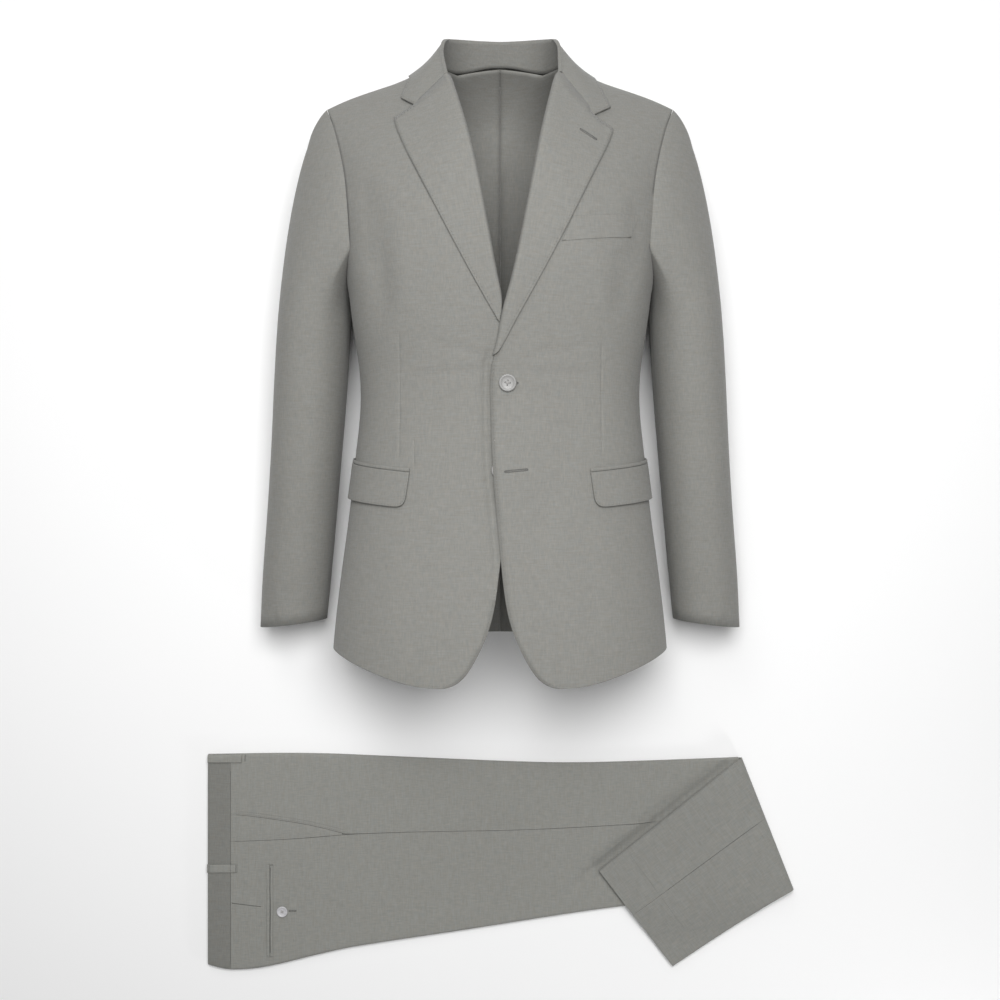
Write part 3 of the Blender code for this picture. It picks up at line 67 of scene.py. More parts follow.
def plain_weave():
    """Node group: colour, height and roughness of a plain weave with slubs, warp along Y."""
    group = bpy.data.node_groups.new("Plain weave", "ShaderNodeTree")
    socket(group, "Place", "Vector")
    socket(group, "Tint", "Color", value=(*JACKET_TINT, 1.0))
    socket(group, "Slub", "Float", value=SLUB_SHARE)
    socket(group, "Colour", "Color", "OUTPUT")
    socket(group, "Height", "Float", "OUTPUT")
    socket(group, "Roughness", "Float", "OUTPUT")
    node, link = group.nodes.new, group.links.new
    start, end = node("NodeGroupInput"), node("NodeGroupOutput")

    def streaks(scale):
        stretch = node("ShaderNodeVectorMath")
        stretch.operation = "MULTIPLY"
        stretch.inputs[1].default_value = scale
        link(start.outputs["Place"], stretch.inputs[0])
        noise = node("ShaderNodeTexNoise")
        noise.inputs["Scale"].default_value = 1.0
        noise.inputs["Detail"].default_value = 2.0
        noise.inputs["Roughness"].default_value = 0.6
        link(stretch.outputs[0], noise.inputs["Vector"])
        return noise.outputs["Fac"]

    def combine(operation, a, b):
        step = node("ShaderNodeMath")
        step.operation = operation
        for place, value in enumerate((a, b)):
            if isinstance(value, (int, float)):
                step.inputs[place].default_value = value
            else:
                link(value, step.inputs[place])
        return step.outputs[0]

    warp, weft, cloud = (combine("SUBTRACT", streaks(scale), 0.5)
                         for scale in (WARP_STREAKS, WEFT_STREAKS, CLOUDS))
    slubs = combine("MULTIPLY", combine("ADD", warp, weft), start.outputs["Slub"])
    slubs = combine("ADD", slubs, combine("MULTIPLY", cloud, CLOUD_SHARE))
    shade = combine("ADD", slubs, 1.0)
    cast = combine("MULTIPLY", combine("SUBTRACT", warp, weft), CAST_SHARE)
    hue = node("ShaderNodeCombineXYZ")
    link(combine("ADD", shade, cast), hue.inputs[0])
    link(shade, hue.inputs[1])
    link(combine("SUBTRACT", shade, cast), hue.inputs[2])
    dyed = node("ShaderNodeVectorMath")
    dyed.operation = "MULTIPLY"
    link(start.outputs["Tint"], dyed.inputs[0])
    link(hue.outputs[0], dyed.inputs[1])
    link(dyed.outputs[0], end.inputs["Colour"])

    split = node("ShaderNodeSeparateXYZ")
    link(start.outputs["Place"], split.inputs[0])
    outwards = combine("ABSOLUTE", split.outputs[0], 0.0)
    round_body = combine("SUBTRACT", outwards, split.outputs[2])
    turns = math.pi / THREAD_GAP
    warp_thread = combine("SINE", combine("MULTIPLY", round_body, turns), 0.0)
    weft_thread = combine("SINE", combine("MULTIPLY", split.outputs[1], turns), 0.0)
    crossing = combine("MULTIPLY", warp_thread, weft_thread)
    crossing = combine("MULTIPLY", crossing, CROSSING_RELIEF)
    link(combine("ADD", crossing, combine("ADD", warp, weft)), end.inputs["Height"])
    rough = combine("MULTIPLY", warp, ROUGHNESS_SPREAD)
    link(combine("ADD", rough, WEAVE_ROUGHNESS), end.inputs["Roughness"])
    return group


WEAVE = plain_weave()


def patterned(name, group, tint, strength, distance, turn=0.0):
    """Material, its shader and a placed group that gives its colour and its bump."""
    look = bpy.data.materials.new(name)
    look.use_nodes = True
    nodes, link = look.node_tree.nodes, look.node_tree.links.new
    shader = nodes["Principled BSDF"]
    place = nodes.new("ShaderNodeTexCoord")
    mapping = nodes.new("ShaderNodeMapping")
    mapping.inputs["Rotation"].default_value = (0.0, 0.0, turn)
    link(place.outputs["Object"], mapping.inputs["Vector"])
    pattern = nodes.new("ShaderNodeGroup")
    pattern.node_tree = group
    pattern.inputs["Tint"].default_value = (*tint, 1.0)
    link(mapping.outputs[0], pattern.inputs["Place"])
    link(pattern.outputs["Colour"], shader.inputs["Base Color"])
    bump = nodes.new("ShaderNodeBump")
    bump.inputs["Strength"].default_value = strength
    bump.inputs["Distance"].default_value = distance
    link(pattern.outputs["Height"], bump.inputs["Height"])
    link(bump.outputs[0], shader.inputs["Normal"])
    return look, shader, pattern


def cloth(name, tint, turn=0.0):
    """Matt woven cloth; turn is the warp's angle from Y in the X-Y plane."""
    look, shader, weave = patterned(name, WEAVE, tint, 0.30, 0.0003, turn)
    look.node_tree.links.new(weave.outputs["Roughness"], shader.inputs["Roughness"])
    shader.inputs["Specular IOR Level"].default_value = 0.25
    shader.inputs["Sheen Weight"].default_value = 0.12
    shader.inputs["Sheen Roughness"].default_value = 0.5
    return look


# Edges sharper than this stay sharp; flatter neighbours than this join into four-sided faces
SEAM_ANGLE = math.radians(48)
JOIN_ANGLE, JOIN_SKEW = math.radians(40), math.radians(100)
WELD, CUT_WELD = 0.00001, 0.00005
# Edge rows of a sewn line: shares of its reach across it and of its length along it
ROWS_BESIDE = (-1.0, -0.5, 0.0, 0.5, 1.0)
ROWS_ALONG = (-0.01, 0.05, 0.5, 0.95, 1.01)
ROWS_PAST = 0.02


def split_along(work, lines):
    """Add edge rows beside and across each line (x, y, end x, y, reach), in its faces only."""
    for x0, y0, x1, y1, reach in lines:
        start = Vector((x0, y0, 0.0))
        run = Vector((x1 - x0, y1 - y0, 0.0))
        across = Vector((-run.y, run.x, 0.0)).normalized()
        cuts = [(start + across * share * reach, across) for share in ROWS_BESIDE]
        cuts += [(start + run * share, run.normalized()) for share in ROWS_ALONG]
        for point, facing in cuts:
            near = []
            for face in work.faces:
                away = [corner.co - start for corner in face.verts]
                along = [spot.dot(run) / run.length_squared for spot in away]
                beside = [spot.dot(across) for spot in away]
                crosses = min(beside) < reach and max(beside) > -reach
                if crosses and min(along) < 1 + ROWS_PAST and max(along) > -ROWS_PAST:
                    near.append(face)
            edges = {edge for face in near for edge in face.edges}
            corners = {corner for face in near for corner in face.verts}
            bmesh.ops.bisect_plane(work, geom=near + list(edges) + list(corners),
                                   plane_co=point, plane_no=facing, dist=CUT_WELD)


def bake(piece):
    """Keep the mesh that a piece's modifiers make of it."""
    bpy.context.view_layer.update()
    evaluated = piece.evaluated_get(bpy.context.evaluated_depsgraph_get())
    made_mesh = bpy.data.meshes.new_from_object(evaluated)
    piece.modifiers.clear()
    piece.data = made_mesh
    piece.data.name = piece.name


def finer_wall(node, name, levels=2, lines=()):
    """A CAD wall as one rounded mesh: its facets joined and subdivided, its rims kept."""
    mesh = bpy.data.meshes.new(name)
    work = bmesh.new()
    work.from_mesh(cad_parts[node].data)
    bmesh.ops.remove_doubles(work, verts=work.verts, dist=WELD)
    bmesh.ops.join_triangles(work, faces=work.faces, angle_face_threshold=JOIN_ANGLE,
                             angle_shape_threshold=JOIN_SKEW)
    crease = work.edges.layers.float.new("crease_edge")
    for edge in work.edges:
        if len(edge.link_faces) == 2 and edge.calc_face_angle() > SEAM_ANGLE:
            edge[crease] = 1.0
    work.to_mesh(mesh)
    work.free()
    piece = bpy.data.objects.new(name, mesh)
    bpy.context.scene.collection.objects.link(piece)
    rounder = piece.modifiers.new("Rounder", "SUBSURF")
    rounder.levels = rounder.render_levels = levels
    rounder.boundary_smooth = "PRESERVE_CORNERS"
    bake(piece)
    if lines:
        work = bmesh.new()
        work.from_mesh(piece.data)
        split_along(work, lines)
        work.to_mesh(piece.data)
        work.free()
    return piece


def points_of(piece):
    """The mesh's points as rows of x, y, z."""
    flat = np.empty(len(piece.data.vertices) * 3)
    piece.data.vertices.foreach_get("co", flat)
    return flat.reshape(-1, 3)


def put_points(piece, points):
    """Give the mesh new points, in the same order."""
    piece.data.vertices.foreach_set("co", points.ravel())
    piece.data.update()


def soft_step(value):
    """From 0 to 1 with soft ends, for a value from 0 to 1."""
    value = np.clip(value, 0.0, 1.0)
    return value * value * (3 - 2 * value)


def finish_piece(piece, material, node, pressed=False):
    """Shade and dress a piece of cloth, hang it on the root and hide its CAD solid; a pressed one
    has its flat faces evenly lit.
    """
    piece.data.materials.clear()
    piece.data.materials.append(material)
    piece.data.shade_smooth()
    piece.data.set_sharp_from_angle(angle=SEAM_ANGLE)
    if pressed:
        weights = piece.modifiers.new("Even shading", "WEIGHTED_NORMAL")
        weights.keep_sharp = True
        bake(piece)
    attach(piece, "root")
    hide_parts(node)
    return piece


# Folds as rows of: start x, y, end x, y, half width, depth (a negative depth is a ridge)
FRONT_FOLDS = [
    (-0.1479, 0.3859, -0.1404, 0.2474, 0.0130, 0.0026),
    (-0.1640, 0.4100, -0.1620, 0.3000, 0.0110, 0.0020),
    (-0.1500, 0.3300, -0.1480, 0.2300, 0.0140, 0.0014),
    (0.1468, 0.3257, 0.1482, 0.2482, 0.0130, 0.0024),
    (0.1660, 0.3900, 0.1640, 0.2900, 0.0110, 0.0018),
    (-0.0150, 0.1920, -0.0950, 0.2160, 0.0055, 0.0007),
    (-0.0180, 0.1760, -0.1050, 0.1700, 0.0060, 0.0009),
    (-0.0150, 0.1600, -0.0850, 0.1320, 0.0060, 0.0007),
    (0.0300, 0.1900, 0.1050, 0.2080, 0.0055, 0.0006),
    (0.0320, 0.1740, 0.1150, 0.1720, 0.0060, 0.0008),
    (0.0280, 0.1550, 0.0950, 0.1330, 0.0060, 0.0006),
    (-0.0900, -0.0100, -0.1080, -0.1500, 0.0160, 0.0012),
    (0.0950, -0.0050, 0.1120, -0.1450, 0.0160, 0.0012),
]
BACK_FOLDS = [
    (-0.1500, 0.4100, -0.1350, 0.2500, 0.0150, 0.0040),
    (0.1520, 0.4050, 0.1400, 0.2400, 0.0150, 0.0036),
    (-0.1050, 0.2100, -0.0300, 0.1700, 0.0100, 0.0022),
    (0.1000, 0.2000, 0.0250, 0.1750, 0.0100, 0.0020),
    (-0.1150, 0.1500, -0.0350, 0.1420, 0.0090, 0.0018),
    (0.1100, 0.1450, 0.0300, 0.1300, 0.0090, 0.0020),
    (-0.0900, 0.0400, -0.1050, -0.1400, 0.0180, 0.0030),
    (0.0850, 0.0350, 0.1000, -0.1450, 0.0180, 0.0028),
]
# A fold fades over this share of its length, from this far past its ends, and pushes up a low
# ridge on both sides
FOLD_FADE, FOLD_PAST, FOLD_RIDGE = 0.35, 0.15, 0.35
# Darts as rows of start x, y, end x, y, with their half width, depth and the fade at their ends
FRONT_DARTS = {
    "front_right": [(-0.1231, 0.2227, -0.1239, 0.0726), (-0.1052, 0.0931, -0.1050, 0.0626)],
    "front_left": [(0.1233, 0.2145, 0.1240, 0.0787)],
}
DART_HALF, DART_DEPTH = 0.0010, 0.0006
DART_FADE, DART_PAST = 0.06, 0.01
# Edge of the lap as (y, x). The cloth below it is drawn in beside this line, by setback, half
# width and depth, and fades over these lengths at the foot and at the head
LAP_EDGE = [(-0.090, 0.0042), (-0.050, 0.0006), (0.020, -0.0054), (0.044, -0.0090),
            (0.092, -0.0112), (0.141, -0.0124), (0.186, -0.0110), (0.212, -0.0050)]
LAP_HOLLOW = (0.0064, 0.0046, 0.0036)
LAP_FADE = (0.04, 0.03)
# Height of the body's long axis, depth over which front folds give way to back folds, and how
# much less a fold pushes sideways than down
BODY_AXIS_HEIGHT = 0.106
AXIS_BLEND = 0.03
BODY_PUSH = (0.45, 0.0, 1.0)


def fold_depth(points, folds):
    """Depth of all folds at each point, from its distance to each fold's line."""
    depth = np.zeros(len(points))
    flat = points[:, :2]
    for x0, y0, x1, y1, half, deep in folds:
        start, run = np.array([x0, y0]), np.array([x1 - x0, y1 - y0])
        length = np.linalg.norm(run)
        along = (flat - start) @ run / length ** 2
        across = np.abs((flat - start) @ np.array([-run[1], run[0]])) / length
        ends = soft_step((along + FOLD_PAST) / FOLD_FADE)
        ends *= soft_step((1 + FOLD_PAST - along) / FOLD_FADE)
        ridge = FOLD_RIDGE * np.exp(-((across - 2 * half) / half) ** 2)
        depth += deep * ends * (np.exp(-(across / half) ** 2) - ridge)
    return depth


def groove_depth(points, lines, half, deep):
    """Depth of narrow sewn lines that fade out at their ends."""
    depth = np.zeros(len(points))
    for x0, y0, x1, y1 in lines:
        start, run = np.array([x0, y0]), np.array([x1 - x0, y1 - y0])
        length = np.linalg.norm(run)
        along = (points[:, :2] - start) @ run / length ** 2
        across = (points[:, :2] - start) @ np.array([-run[1], run[0]]) / length
        ends = soft_step((along + DART_PAST) / DART_FADE)
        ends *= soft_step((1 + DART_PAST - along) / DART_FADE)
        depth += deep * ends * np.clip(1 - np.abs(across) / half, 0.0, 1.0)
    return depth


def body_outward(points):
    """Direction away from the body's long axis."""
    outward = (points - np.array([0.0, 0.0, BODY_AXIS_HEIGHT])) * np.array(BODY_PUSH)
    return outward / np.maximum(np.linalg.norm(outward, axis=1, keepdims=True), 1e-6)


def drape_body(points):
    """Folds pressed into the body towards its axis, for every piece that lies there."""
    upper = soft_step((points[:, 2] - BODY_AXIS_HEIGHT) / AXIS_BLEND)
    lower = soft_step((BODY_AXIS_HEIGHT - points[:, 2]) / AXIS_BLEND)
    depth = fold_depth(points, FRONT_FOLDS) * upper + fold_depth(points, BACK_FOLDS) * lower
    moved = points - body_outward(points) * depth[:, None]
    moved[:, 2] = np.maximum(moved[:, 2], 0.0)
    return moved


jacket_cloth = cloth("Jacket cloth", JACKET_TINT)
# Panels: flat width and length, pieces they rest on, flat area
BODY_PANELS = {
    "front_left": ((0.36, 0.86), ["back_left", "front_right"], 0.182),
    "front_right": ((0.36, 0.86), ["back_right"], 0.176),
    "side_left": ((0.13, 0.46), ["back_left"], 0.040),
    "side_right": ((0.13, 0.46), ["back_right"], 0.040),
    "back_left": ((0.27, 0.78), ["side_left"], 0.150),
    "back_right": ((0.27, 0.78), ["side_right"], 0.150),
}
made = {}
for node, (flat, rests_on, area) in BODY_PANELS.items():
    darts = FRONT_DARTS.get(node, ())
    lines = [(*dart, DART_HALF) for dart in darts]
    if node == "front_right":
        hollow = [(x - LAP_HOLLOW[0], y) for y, x in LAP_EDGE]
        lines += [(*low, *high, LAP_HOLLOW[1]) for low, high in zip(hollow, hollow[1:])]
    piece = finer_wall(node, node + "_cloth", lines=lines)
    points = points_of(piece)
    moved = drape_body(points)
    if darts:
        depth = groove_depth(points, darts, DART_HALF, DART_DEPTH)
        moved -= body_outward(points) * depth[:, None]
    if node == "front_right":
        setback, half, deep = LAP_HOLLOW
        levels, edges = np.array(LAP_EDGE).T
        across = (points[:, 0] - np.interp(points[:, 1], levels, edges) + setback) / half
        window = soft_step((points[:, 1] - levels[0]) / LAP_FADE[0])
        window *= soft_step((levels[-1] - points[:, 1]) / LAP_FADE[1])
        window *= points[:, 2] > BODY_AXIS_HEIGHT
        moved[:, 2] -= deep * np.exp(-across ** 2) * window
    put_points(piece, moved)
    made[node] = finish_piece(piece, jacket_cloth, node)

# Sleeves
# Each sleeve is a top piece and an under piece of the same cloth, seamed into a tube and set into
# the armhole. It hangs free, with soft creases that are deepest on its underside.

# Axis of the sleeve as y, distance from the centre, height
SLEEVE_AXIS = np.array([
    (-0.143, 0.2758, 0.0458),
    (-0.122, 0.2741, 0.0476),
    (-0.073, 0.2699, 0.0528),
    (-0.009, 0.2636, 0.0588),
    (0.070, 0.2565, 0.0660),
    (0.149, 0.2501, 0.0735),
    (0.245, 0.2432, 0.0830),
])
# Creases: y, angle round the sleeve in degrees (90 is up, 0 outwards), slope, reach, half width
# and depth. They have a low ridge on both sides, and fade towards the armhole and the cuff
SLEEVE_CREASES = [
    (0.178, 262, 0.00030, 55, 0.0090, 0.0022),
    (0.120, 280, 0.00025, 55, 0.0080, 0.0030),
    (0.088, 268, -0.00020, 60, 0.0070, 0.0034),
    (0.060, 285, 0.00015, 50, 0.0070, 0.0026),
    (0.018, 262, -0.00025, 55, 0.0085, 0.0022),
    (-0.045, 275, 0.00030, 50, 0.0090, 0.0018),
    (0.105, 95, 0.00012, 55, 0.0200, 0.0007),
    (-0.030, 80, -0.00015, 55, 0.0220, 0.0006),
]
CREASE_RIDGE, CREASE_FADE, CREASE_LEAST_Y = 0.4, 0.03, -0.135
CREASE_SPREAD = 1.3
# The right sleeve's creases lie a little higher
SLEEVE_SIDES = (("left", 1, 0.0), ("right", -1, 0.007))
SLEEVE_PIECES = (("top", (0.25, 0.68), 0.136), ("under", (0.17, 0.59), 0.055))


def crease_sleeve(points, side, shift):
    """Creases pressed into a sleeve towards its axis."""
    y = points[:, 1]
    axis_x = np.interp(y, SLEEVE_AXIS[:, 0], SLEEVE_AXIS[:, 1]) * side
    axis_z = np.interp(y, SLEEVE_AXIS[:, 0], SLEEVE_AXIS[:, 2])
    spoke = np.stack([(points[:, 0] - axis_x) * side, points[:, 2] - axis_z], axis=1)
    spoke /= np.maximum(np.linalg.norm(spoke, axis=1, keepdims=True), 1e-6)
    angle = np.degrees(np.arctan2(spoke[:, 1], spoke[:, 0]))
    depth = np.zeros(len(points))
    for level, centre, slope, reach, half, deep in SLEEVE_CREASES:
        away = (angle - centre + 180) % 360 - 180
        across = (y - level - shift - slope * away) / half
        shape = np.exp(-across ** 2) - CREASE_RIDGE * np.exp(-(np.abs(across) - 2) ** 2)
        depth += deep * shape * soft_step(CREASE_SPREAD * (1 - np.abs(away) / reach))
    depth *= soft_step((SLEEVE_AXIS[-1, 0] - y) / CREASE_FADE)
    depth *= soft_step((y - CREASE_LEAST_Y) / CREASE_FADE)
    moved = points.copy()
    moved[:, 0] -= spoke[:, 0] * depth * side
    moved[:, 2] -= spoke[:, 1] * depth
    return moved


for label, side, shift in SLEEVE_SIDES:
    for part, flat, area in SLEEVE_PIECES:
        node = "sleeve_%s_%s" % (label, part)
        piece = finer_wall(node, node + "_cloth")
        put_points(piece, crease_sleeve(points_of(piece), side, shift))
        made[node] = finish_piece(piece, jacket_cloth, node)

# Lapels and collar
# The lapels are the turned fronts and the collar is one folded strip, stand inside and fall
# outside. They are double cloth, softly pressed, with the grain following the lapel's edge.
# Pieces: flat width and length, flat area, angle of the warp from Y
LAPELS = (
    ("lapel_left", (0.11, 0.40), 0.0213, 0.16),
    ("lapel_right", (0.11, 0.36), 0.0200, -0.16),
    ("collar", (0.11, 0.56), 0.0381, 0.0),
)
# Upper end of a lapel, drawn under the collar: x, y of the seam's ends, reach, shift out and down
GORGES = {
    "lapel_left": (0.0720, 0.5420, 0.1157, 0.4914, 0.0050, 0.0028, 0.0010),
    "lapel_right": (-0.0660, 0.5440, -0.1040, 0.5018, 0.0050, 0.0016, 0.0008),
}
# The shift is full near the seam and fades in and out along it, at these shares of its length
GORGE_HOLD = 1.6
GORGE_START, GORGE_END = (-0.10, 0.15), (0.92, 0.12)


def tuck_gorge(points, x0, y0, x1, y1, reach, out, down):
    """Shift the cloth near the gorge seam towards and under the collar."""
    run = np.array([x1 - x0, y1 - y0])
    length = np.linalg.norm(run)
    beside = np.array([-run[1], run[0]]) / length * (1 if x0 > 0 else -1)
    along = (points[:, :2] - np.array([x0, y0])) @ run / length ** 2
    away = np.abs((points[:, :2] - np.array([x0, y0])) @ beside)
    share = soft_step(GORGE_HOLD * (1 - away / reach))
    share *= soft_step((along - GORGE_START[0]) / GORGE_START[1])
    share *= soft_step((GORGE_END[0] - along) / GORGE_END[1])
    moved = points.copy()
    moved[:, :2] += beside * (share * out)[:, None]
    moved[:, 2] -= share * down
    return moved


for node, flat, area, turn in LAPELS:
    piece = finer_wall(node, node + "_cloth")
    points = points_of(piece)
    if node in GORGES:
        points = tuck_gorge(points, *GORGES[node])
    put_points(piece, drape_body(points))
    look = cloth(node.capitalize() + " cloth", JACKET_TINT, turn=turn)
    made[node] = finish_piece(piece, look, node)

# Hip pockets and breast welt
# Flaps of double cloth hang from a narrow strip on each hip, and a slanted welt lies on the left
# chest. All are sewn onto the fronts and follow their curve.
POCKET_PIECES = (
    ("flap_left", (0.135, 0.055), None),
    ("flap_right", (0.135, 0.055), None),
    ("jetting_left", (0.135, 0.010), 0.0009),
    ("jetting_right", (0.135, 0.010), 0.0009),
    ("breast_welt", (0.090, 0.030), None),
)
# The welt is pressed down to this share of its solid's height above the front
WELT_RISE = 0.45
DOWN = Vector((0.0, 0.0, -1.0))
RAY_HEIGHT = 0.5


def tree_of(pieces):
    """Ray-test tree of the joined pieces."""
    corners, sides = [], []
    for piece in pieces:
        base = len(corners)
        corners += [vertex.co.copy() for vertex in piece.data.vertices]
        sides += [[base + i for i in face.vertices] for face in piece.data.polygons]
    return BVHTree.FromPolygons(corners, sides)


def drop_onto(tree, x, y):
    """Top point of the cloth at x, y and the direction it faces, or None beside it."""
    spot, normal, _, _ = tree.ray_cast(Vector((x, y, RAY_HEIGHT)), DOWN)
    if spot is None:
        return None
    return spot, (normal if normal.z > 0 else -normal)


front_top = tree_of([made["front_left"]])
for node, flat, area in POCKET_PIECES:
    piece = finer_wall(node, node + "_cloth")
    points = points_of(piece)
    moved = drape_body(points)
    if node == "breast_welt":
        for spot in moved:
            under = drop_onto(front_top, spot[0], spot[1])
            if under:
                spot[2] = under[0].z + WELT_RISE * (spot[2] - under[0].z)
    put_points(piece, moved)
    made[node] = finish_piece(piece, jacket_cloth, node)

# Stitches and buttonholes of the jacket
# A row of small pick stitches runs just inside the front edges, lapels, collar and flaps, and
# each buttonhole is a slit bound with close thread. Both are sewn in cotton darker than the
# cloth;
# the buttonhole thread is darker still as painted shade round its raised purl, and a dark strip
# in each slit is its painted shade.
STITCH_RADIUS = 0.00024
STITCH_LENGTH = 0.0016
STITCH_STEP = 0.0044
EDGE_INSET, FLAP_INSET = 0.0030, 0.0022
THREAD_TINT = (0.150, 0.148, 0.138)
THREAD_SIDES = 6
# A stitch from end to end: share of its length, height over the cloth in thread radii
STITCH_RISE = [(-0.5, -1.2), (-0.36, 0.5), (0.0, 0.8), (0.36, 0.5), (0.5, -1.2)]


def mottled(name, scale, detail, distortion, spread, shades):
    """Node group: a tint with darker and paler spots, shades[0] to shades[1] of it, and the
    spots' height."""
    group = bpy.data.node_groups.new(name, "ShaderNodeTree")
    socket(group, "Place", "Vector")
    socket(group, "Tint", "Color", value=(*THREAD_TINT, 1.0))
    socket(group, "Colour", "Color", "OUTPUT")
    socket(group, "Height", "Float", "OUTPUT")
    node, link = group.nodes.new, group.links.new
    start, end = node("NodeGroupInput"), node("NodeGroupOutput")
    spots = node("ShaderNodeTexNoise")
    spots.inputs["Scale"].default_value = scale
    spots.inputs["Detail"].default_value = detail
    spots.inputs["Distortion"].default_value = distortion
    link(start.outputs["Place"], spots.inputs["Vector"])
    shade = node("ShaderNodeMapRange")
    for label, value in zip(("From Min", "From Max", "To Min", "To Max"), (*spread, *shades)):
        shade.inputs[label].default_value = value
    link(spots.outputs["Fac"], shade.inputs["Value"])
    dyed = node("ShaderNodeVectorMath")
    dyed.operation = "SCALE"
    link(start.outputs["Tint"], dyed.inputs[0])
    link(shade.outputs["Result"], dyed.inputs["Scale"])
    link(dyed.outputs[0], end.inputs["Colour"])
    link(spots.outputs["Fac"], end.inputs["Height"])
    return group


PLIES = mottled("Thread plies", 2600.0, 1.0, 0.0, (0.35, 0.65), (0.82, 1.15))


def thread_look(name, tint):
    """Twisted sewing thread: fine plies in colour and bump."""
    look, shader, _ = patterned(name, PLIES, tint, 0.4, 0.0001)
    shader.inputs["Roughness"].default_value = 0.7
    shader.inputs["Sheen Weight"].default_value = 0.2
    return look


def join_rings(work, low, high):
    """Close the band between two rings of points; a ring may be one point many times."""
    count = len(low)
    for k in range(count):
        quad = (low[k], low[(k + 1) % count], high[(k + 1) % count], high[k])
        work.faces.new(list(dict.fromkeys(quad)))


def add_thread(work, path, normal, radius):
    """Add one round, closed thread along a path to a mesh in the making."""
    last = None
    for i, point in enumerate(path):
        ahead = (path[min(i + 1, len(path) - 1)] - path[max(i - 1, 0)]).normalized()
        across = ahead.cross(normal).normalized()
        up = across.cross(ahead)
        turns = [2 * math.pi * k / THREAD_SIDES for k in range(THREAD_SIDES)]
        spokes = [across * math.cos(turn) + up * math.sin(turn) for turn in turns]
        ring = [work.verts.new(point + spoke * radius) for spoke in spokes]
        if last is None:
            work.faces.new(ring[::-1])
        else:
            join_rings(work, last, ring)
        last = ring
    work.faces.new(last)


def add_stitch(work, spot, normal, along, length, radius):
    """One stitch: up out of the cloth, along it and back in."""
    along = (along - normal * along.dot(normal)).normalized()
    path = [spot + along * length * share + normal * radius * height
            for share, height in STITCH_RISE]
    add_thread(work, path, normal, radius)


def finish_mesh(work, name, material):
    """Turn a mesh in the making into a smooth piece that rides with the suit."""
    bmesh.ops.recalc_face_normals(work, faces=work.faces)
    mesh = bpy.data.meshes.new(name)
    work.to_mesh(mesh)
    work.free()
    mesh.materials.append(material)
    mesh.shade_smooth()
    piece = bpy.data.objects.new(name, mesh)
    bpy.context.scene.collection.objects.link(piece)
    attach(piece, "root")
    return piece


def evenly(path, step):
    """Points at an even step along a path."""
    lengths = np.linalg.norm(np.diff(path, axis=0), axis=1)
    run = np.concatenate([[0.0], np.cumsum(lengths)])
    at = np.arange(step / 2, run[-1], step)
    return np.stack([np.interp(at, run, path[:, k]) for k in range(path.shape[1])], axis=1)


def across_of(path):
    """Unit directions along and across a flat path."""
    along = np.gradient(path, axis=0)
    along /= np.maximum(np.linalg.norm(along, axis=1, keepdims=True), 1e-9)
    return along, np.stack([-along[:, 1], along[:, 0]], axis=1)


RIM_STEP = 0.0015
RIM_HALVINGS = 9


def rim_past(tree, stops, reach=0.012):
    """The cloth's edge as seen from above, near a line of stops, and the side it lies on."""
    guide = evenly(np.array(stops), RIM_STEP)
    across = across_of(guide)[1]
    inner = [[drop_onto(tree, *(spot + side * way * reach)) is not None
              for spot, side in zip(guide, across)] for way in (1, -1)]
    way = 1 if sum(inner[0]) >= sum(inner[1]) else -1
    rim = []
    for spot, side in zip(guide, across * way):
        near, far = reach, -reach
        if not drop_onto(tree, *(spot + side * near)) or drop_onto(tree, *(spot + side * far)):
            continue
        for _ in range(RIM_HALVINGS):
            middle = (near + far) / 2
            if drop_onto(tree, *(spot + side * middle)):
                near = middle
            else:
                far = middle
        rim.append(spot + side * near)
    rim = np.array(rim)
    rim[1:-1] = (rim[:-2] + 2 * rim[1:-1] + rim[2:]) / 4
    return rim, way


def sew_inside(work, piece, stops, inset, step=STITCH_STEP, length=STITCH_LENGTH):
    """A row of stitches on a piece, set in from its edge."""
    tree = tree_of([piece])
    rim, way = rim_past(tree, stops)
    path = evenly(rim, step)
    for spot, along, side in zip(path, *across_of(path)):
        hit = drop_onto(tree, *(spot + side * way * inset))
        if hit:
            add_stitch(work, hit[0], hit[1], Vector((*along, 0.0)), length, STITCH_RADIUS)


cotton = thread_look("Sewing cotton", THREAD_TINT)
# Edges with pick stitches: piece and the spots (x, y) that the row passes
PICKED_EDGES = [
    ("front_left", [(-0.0112, 0.1850), (-0.0075, 0.0440), (0.0083, -0.1135), (0.0392, -0.1870),
                    (0.0900, -0.2045)]),
    ("front_right", [(-0.0030, -0.0850), (-0.0071, -0.1135), (-0.0380, -0.1870),
                     (-0.0900, -0.2045)]),
    ("lapel_left", [(0.1129, 0.4884), (0.1374, 0.4723), (0.0841, 0.3550), (0.0100, 0.2150)]),
    ("lapel_right", [(-0.1035, 0.5018), (-0.1292, 0.4867), (-0.0640, 0.3451),
                     (-0.0120, 0.2500)]),
    ("collar", [(0.1134, 0.4892), (0.1359, 0.5044), (0.1283, 0.5300), (0.1232, 0.5478)]),
    ("collar", [(-0.1040, 0.5026), (-0.1219, 0.5167), (-0.1178, 0.5398), (-0.1140, 0.5538)]),
    ("flap_left", [(0.1097, 0.0450), (0.1200, 0.0103), (0.1500, 0.0170), (0.1850, 0.0245)]),
    ("flap_right", [(-0.1097, 0.0450), (-0.1200, 0.0103), (-0.1500, 0.0170),
                    (-0.1850, 0.0245)]),
]
picks = bmesh.new()
for node, stops in PICKED_EDGES:
    sew_inside(picks, made[node], stops, FLAP_INSET if "flap" in node else EDGE_INSET)
finish_mesh(picks, "jacket_pick_stitches", cotton)


# Binding: stitches this far apart, at this share of the hole's half width, this much of it long
BINDING_STEP, BINDING_PLACE, BINDING_LENGTH = 0.00062, 0.62, 0.95
TIP_TURNS = [math.radians(degrees) for degrees in (-60, -30, 0, 30, 60)]
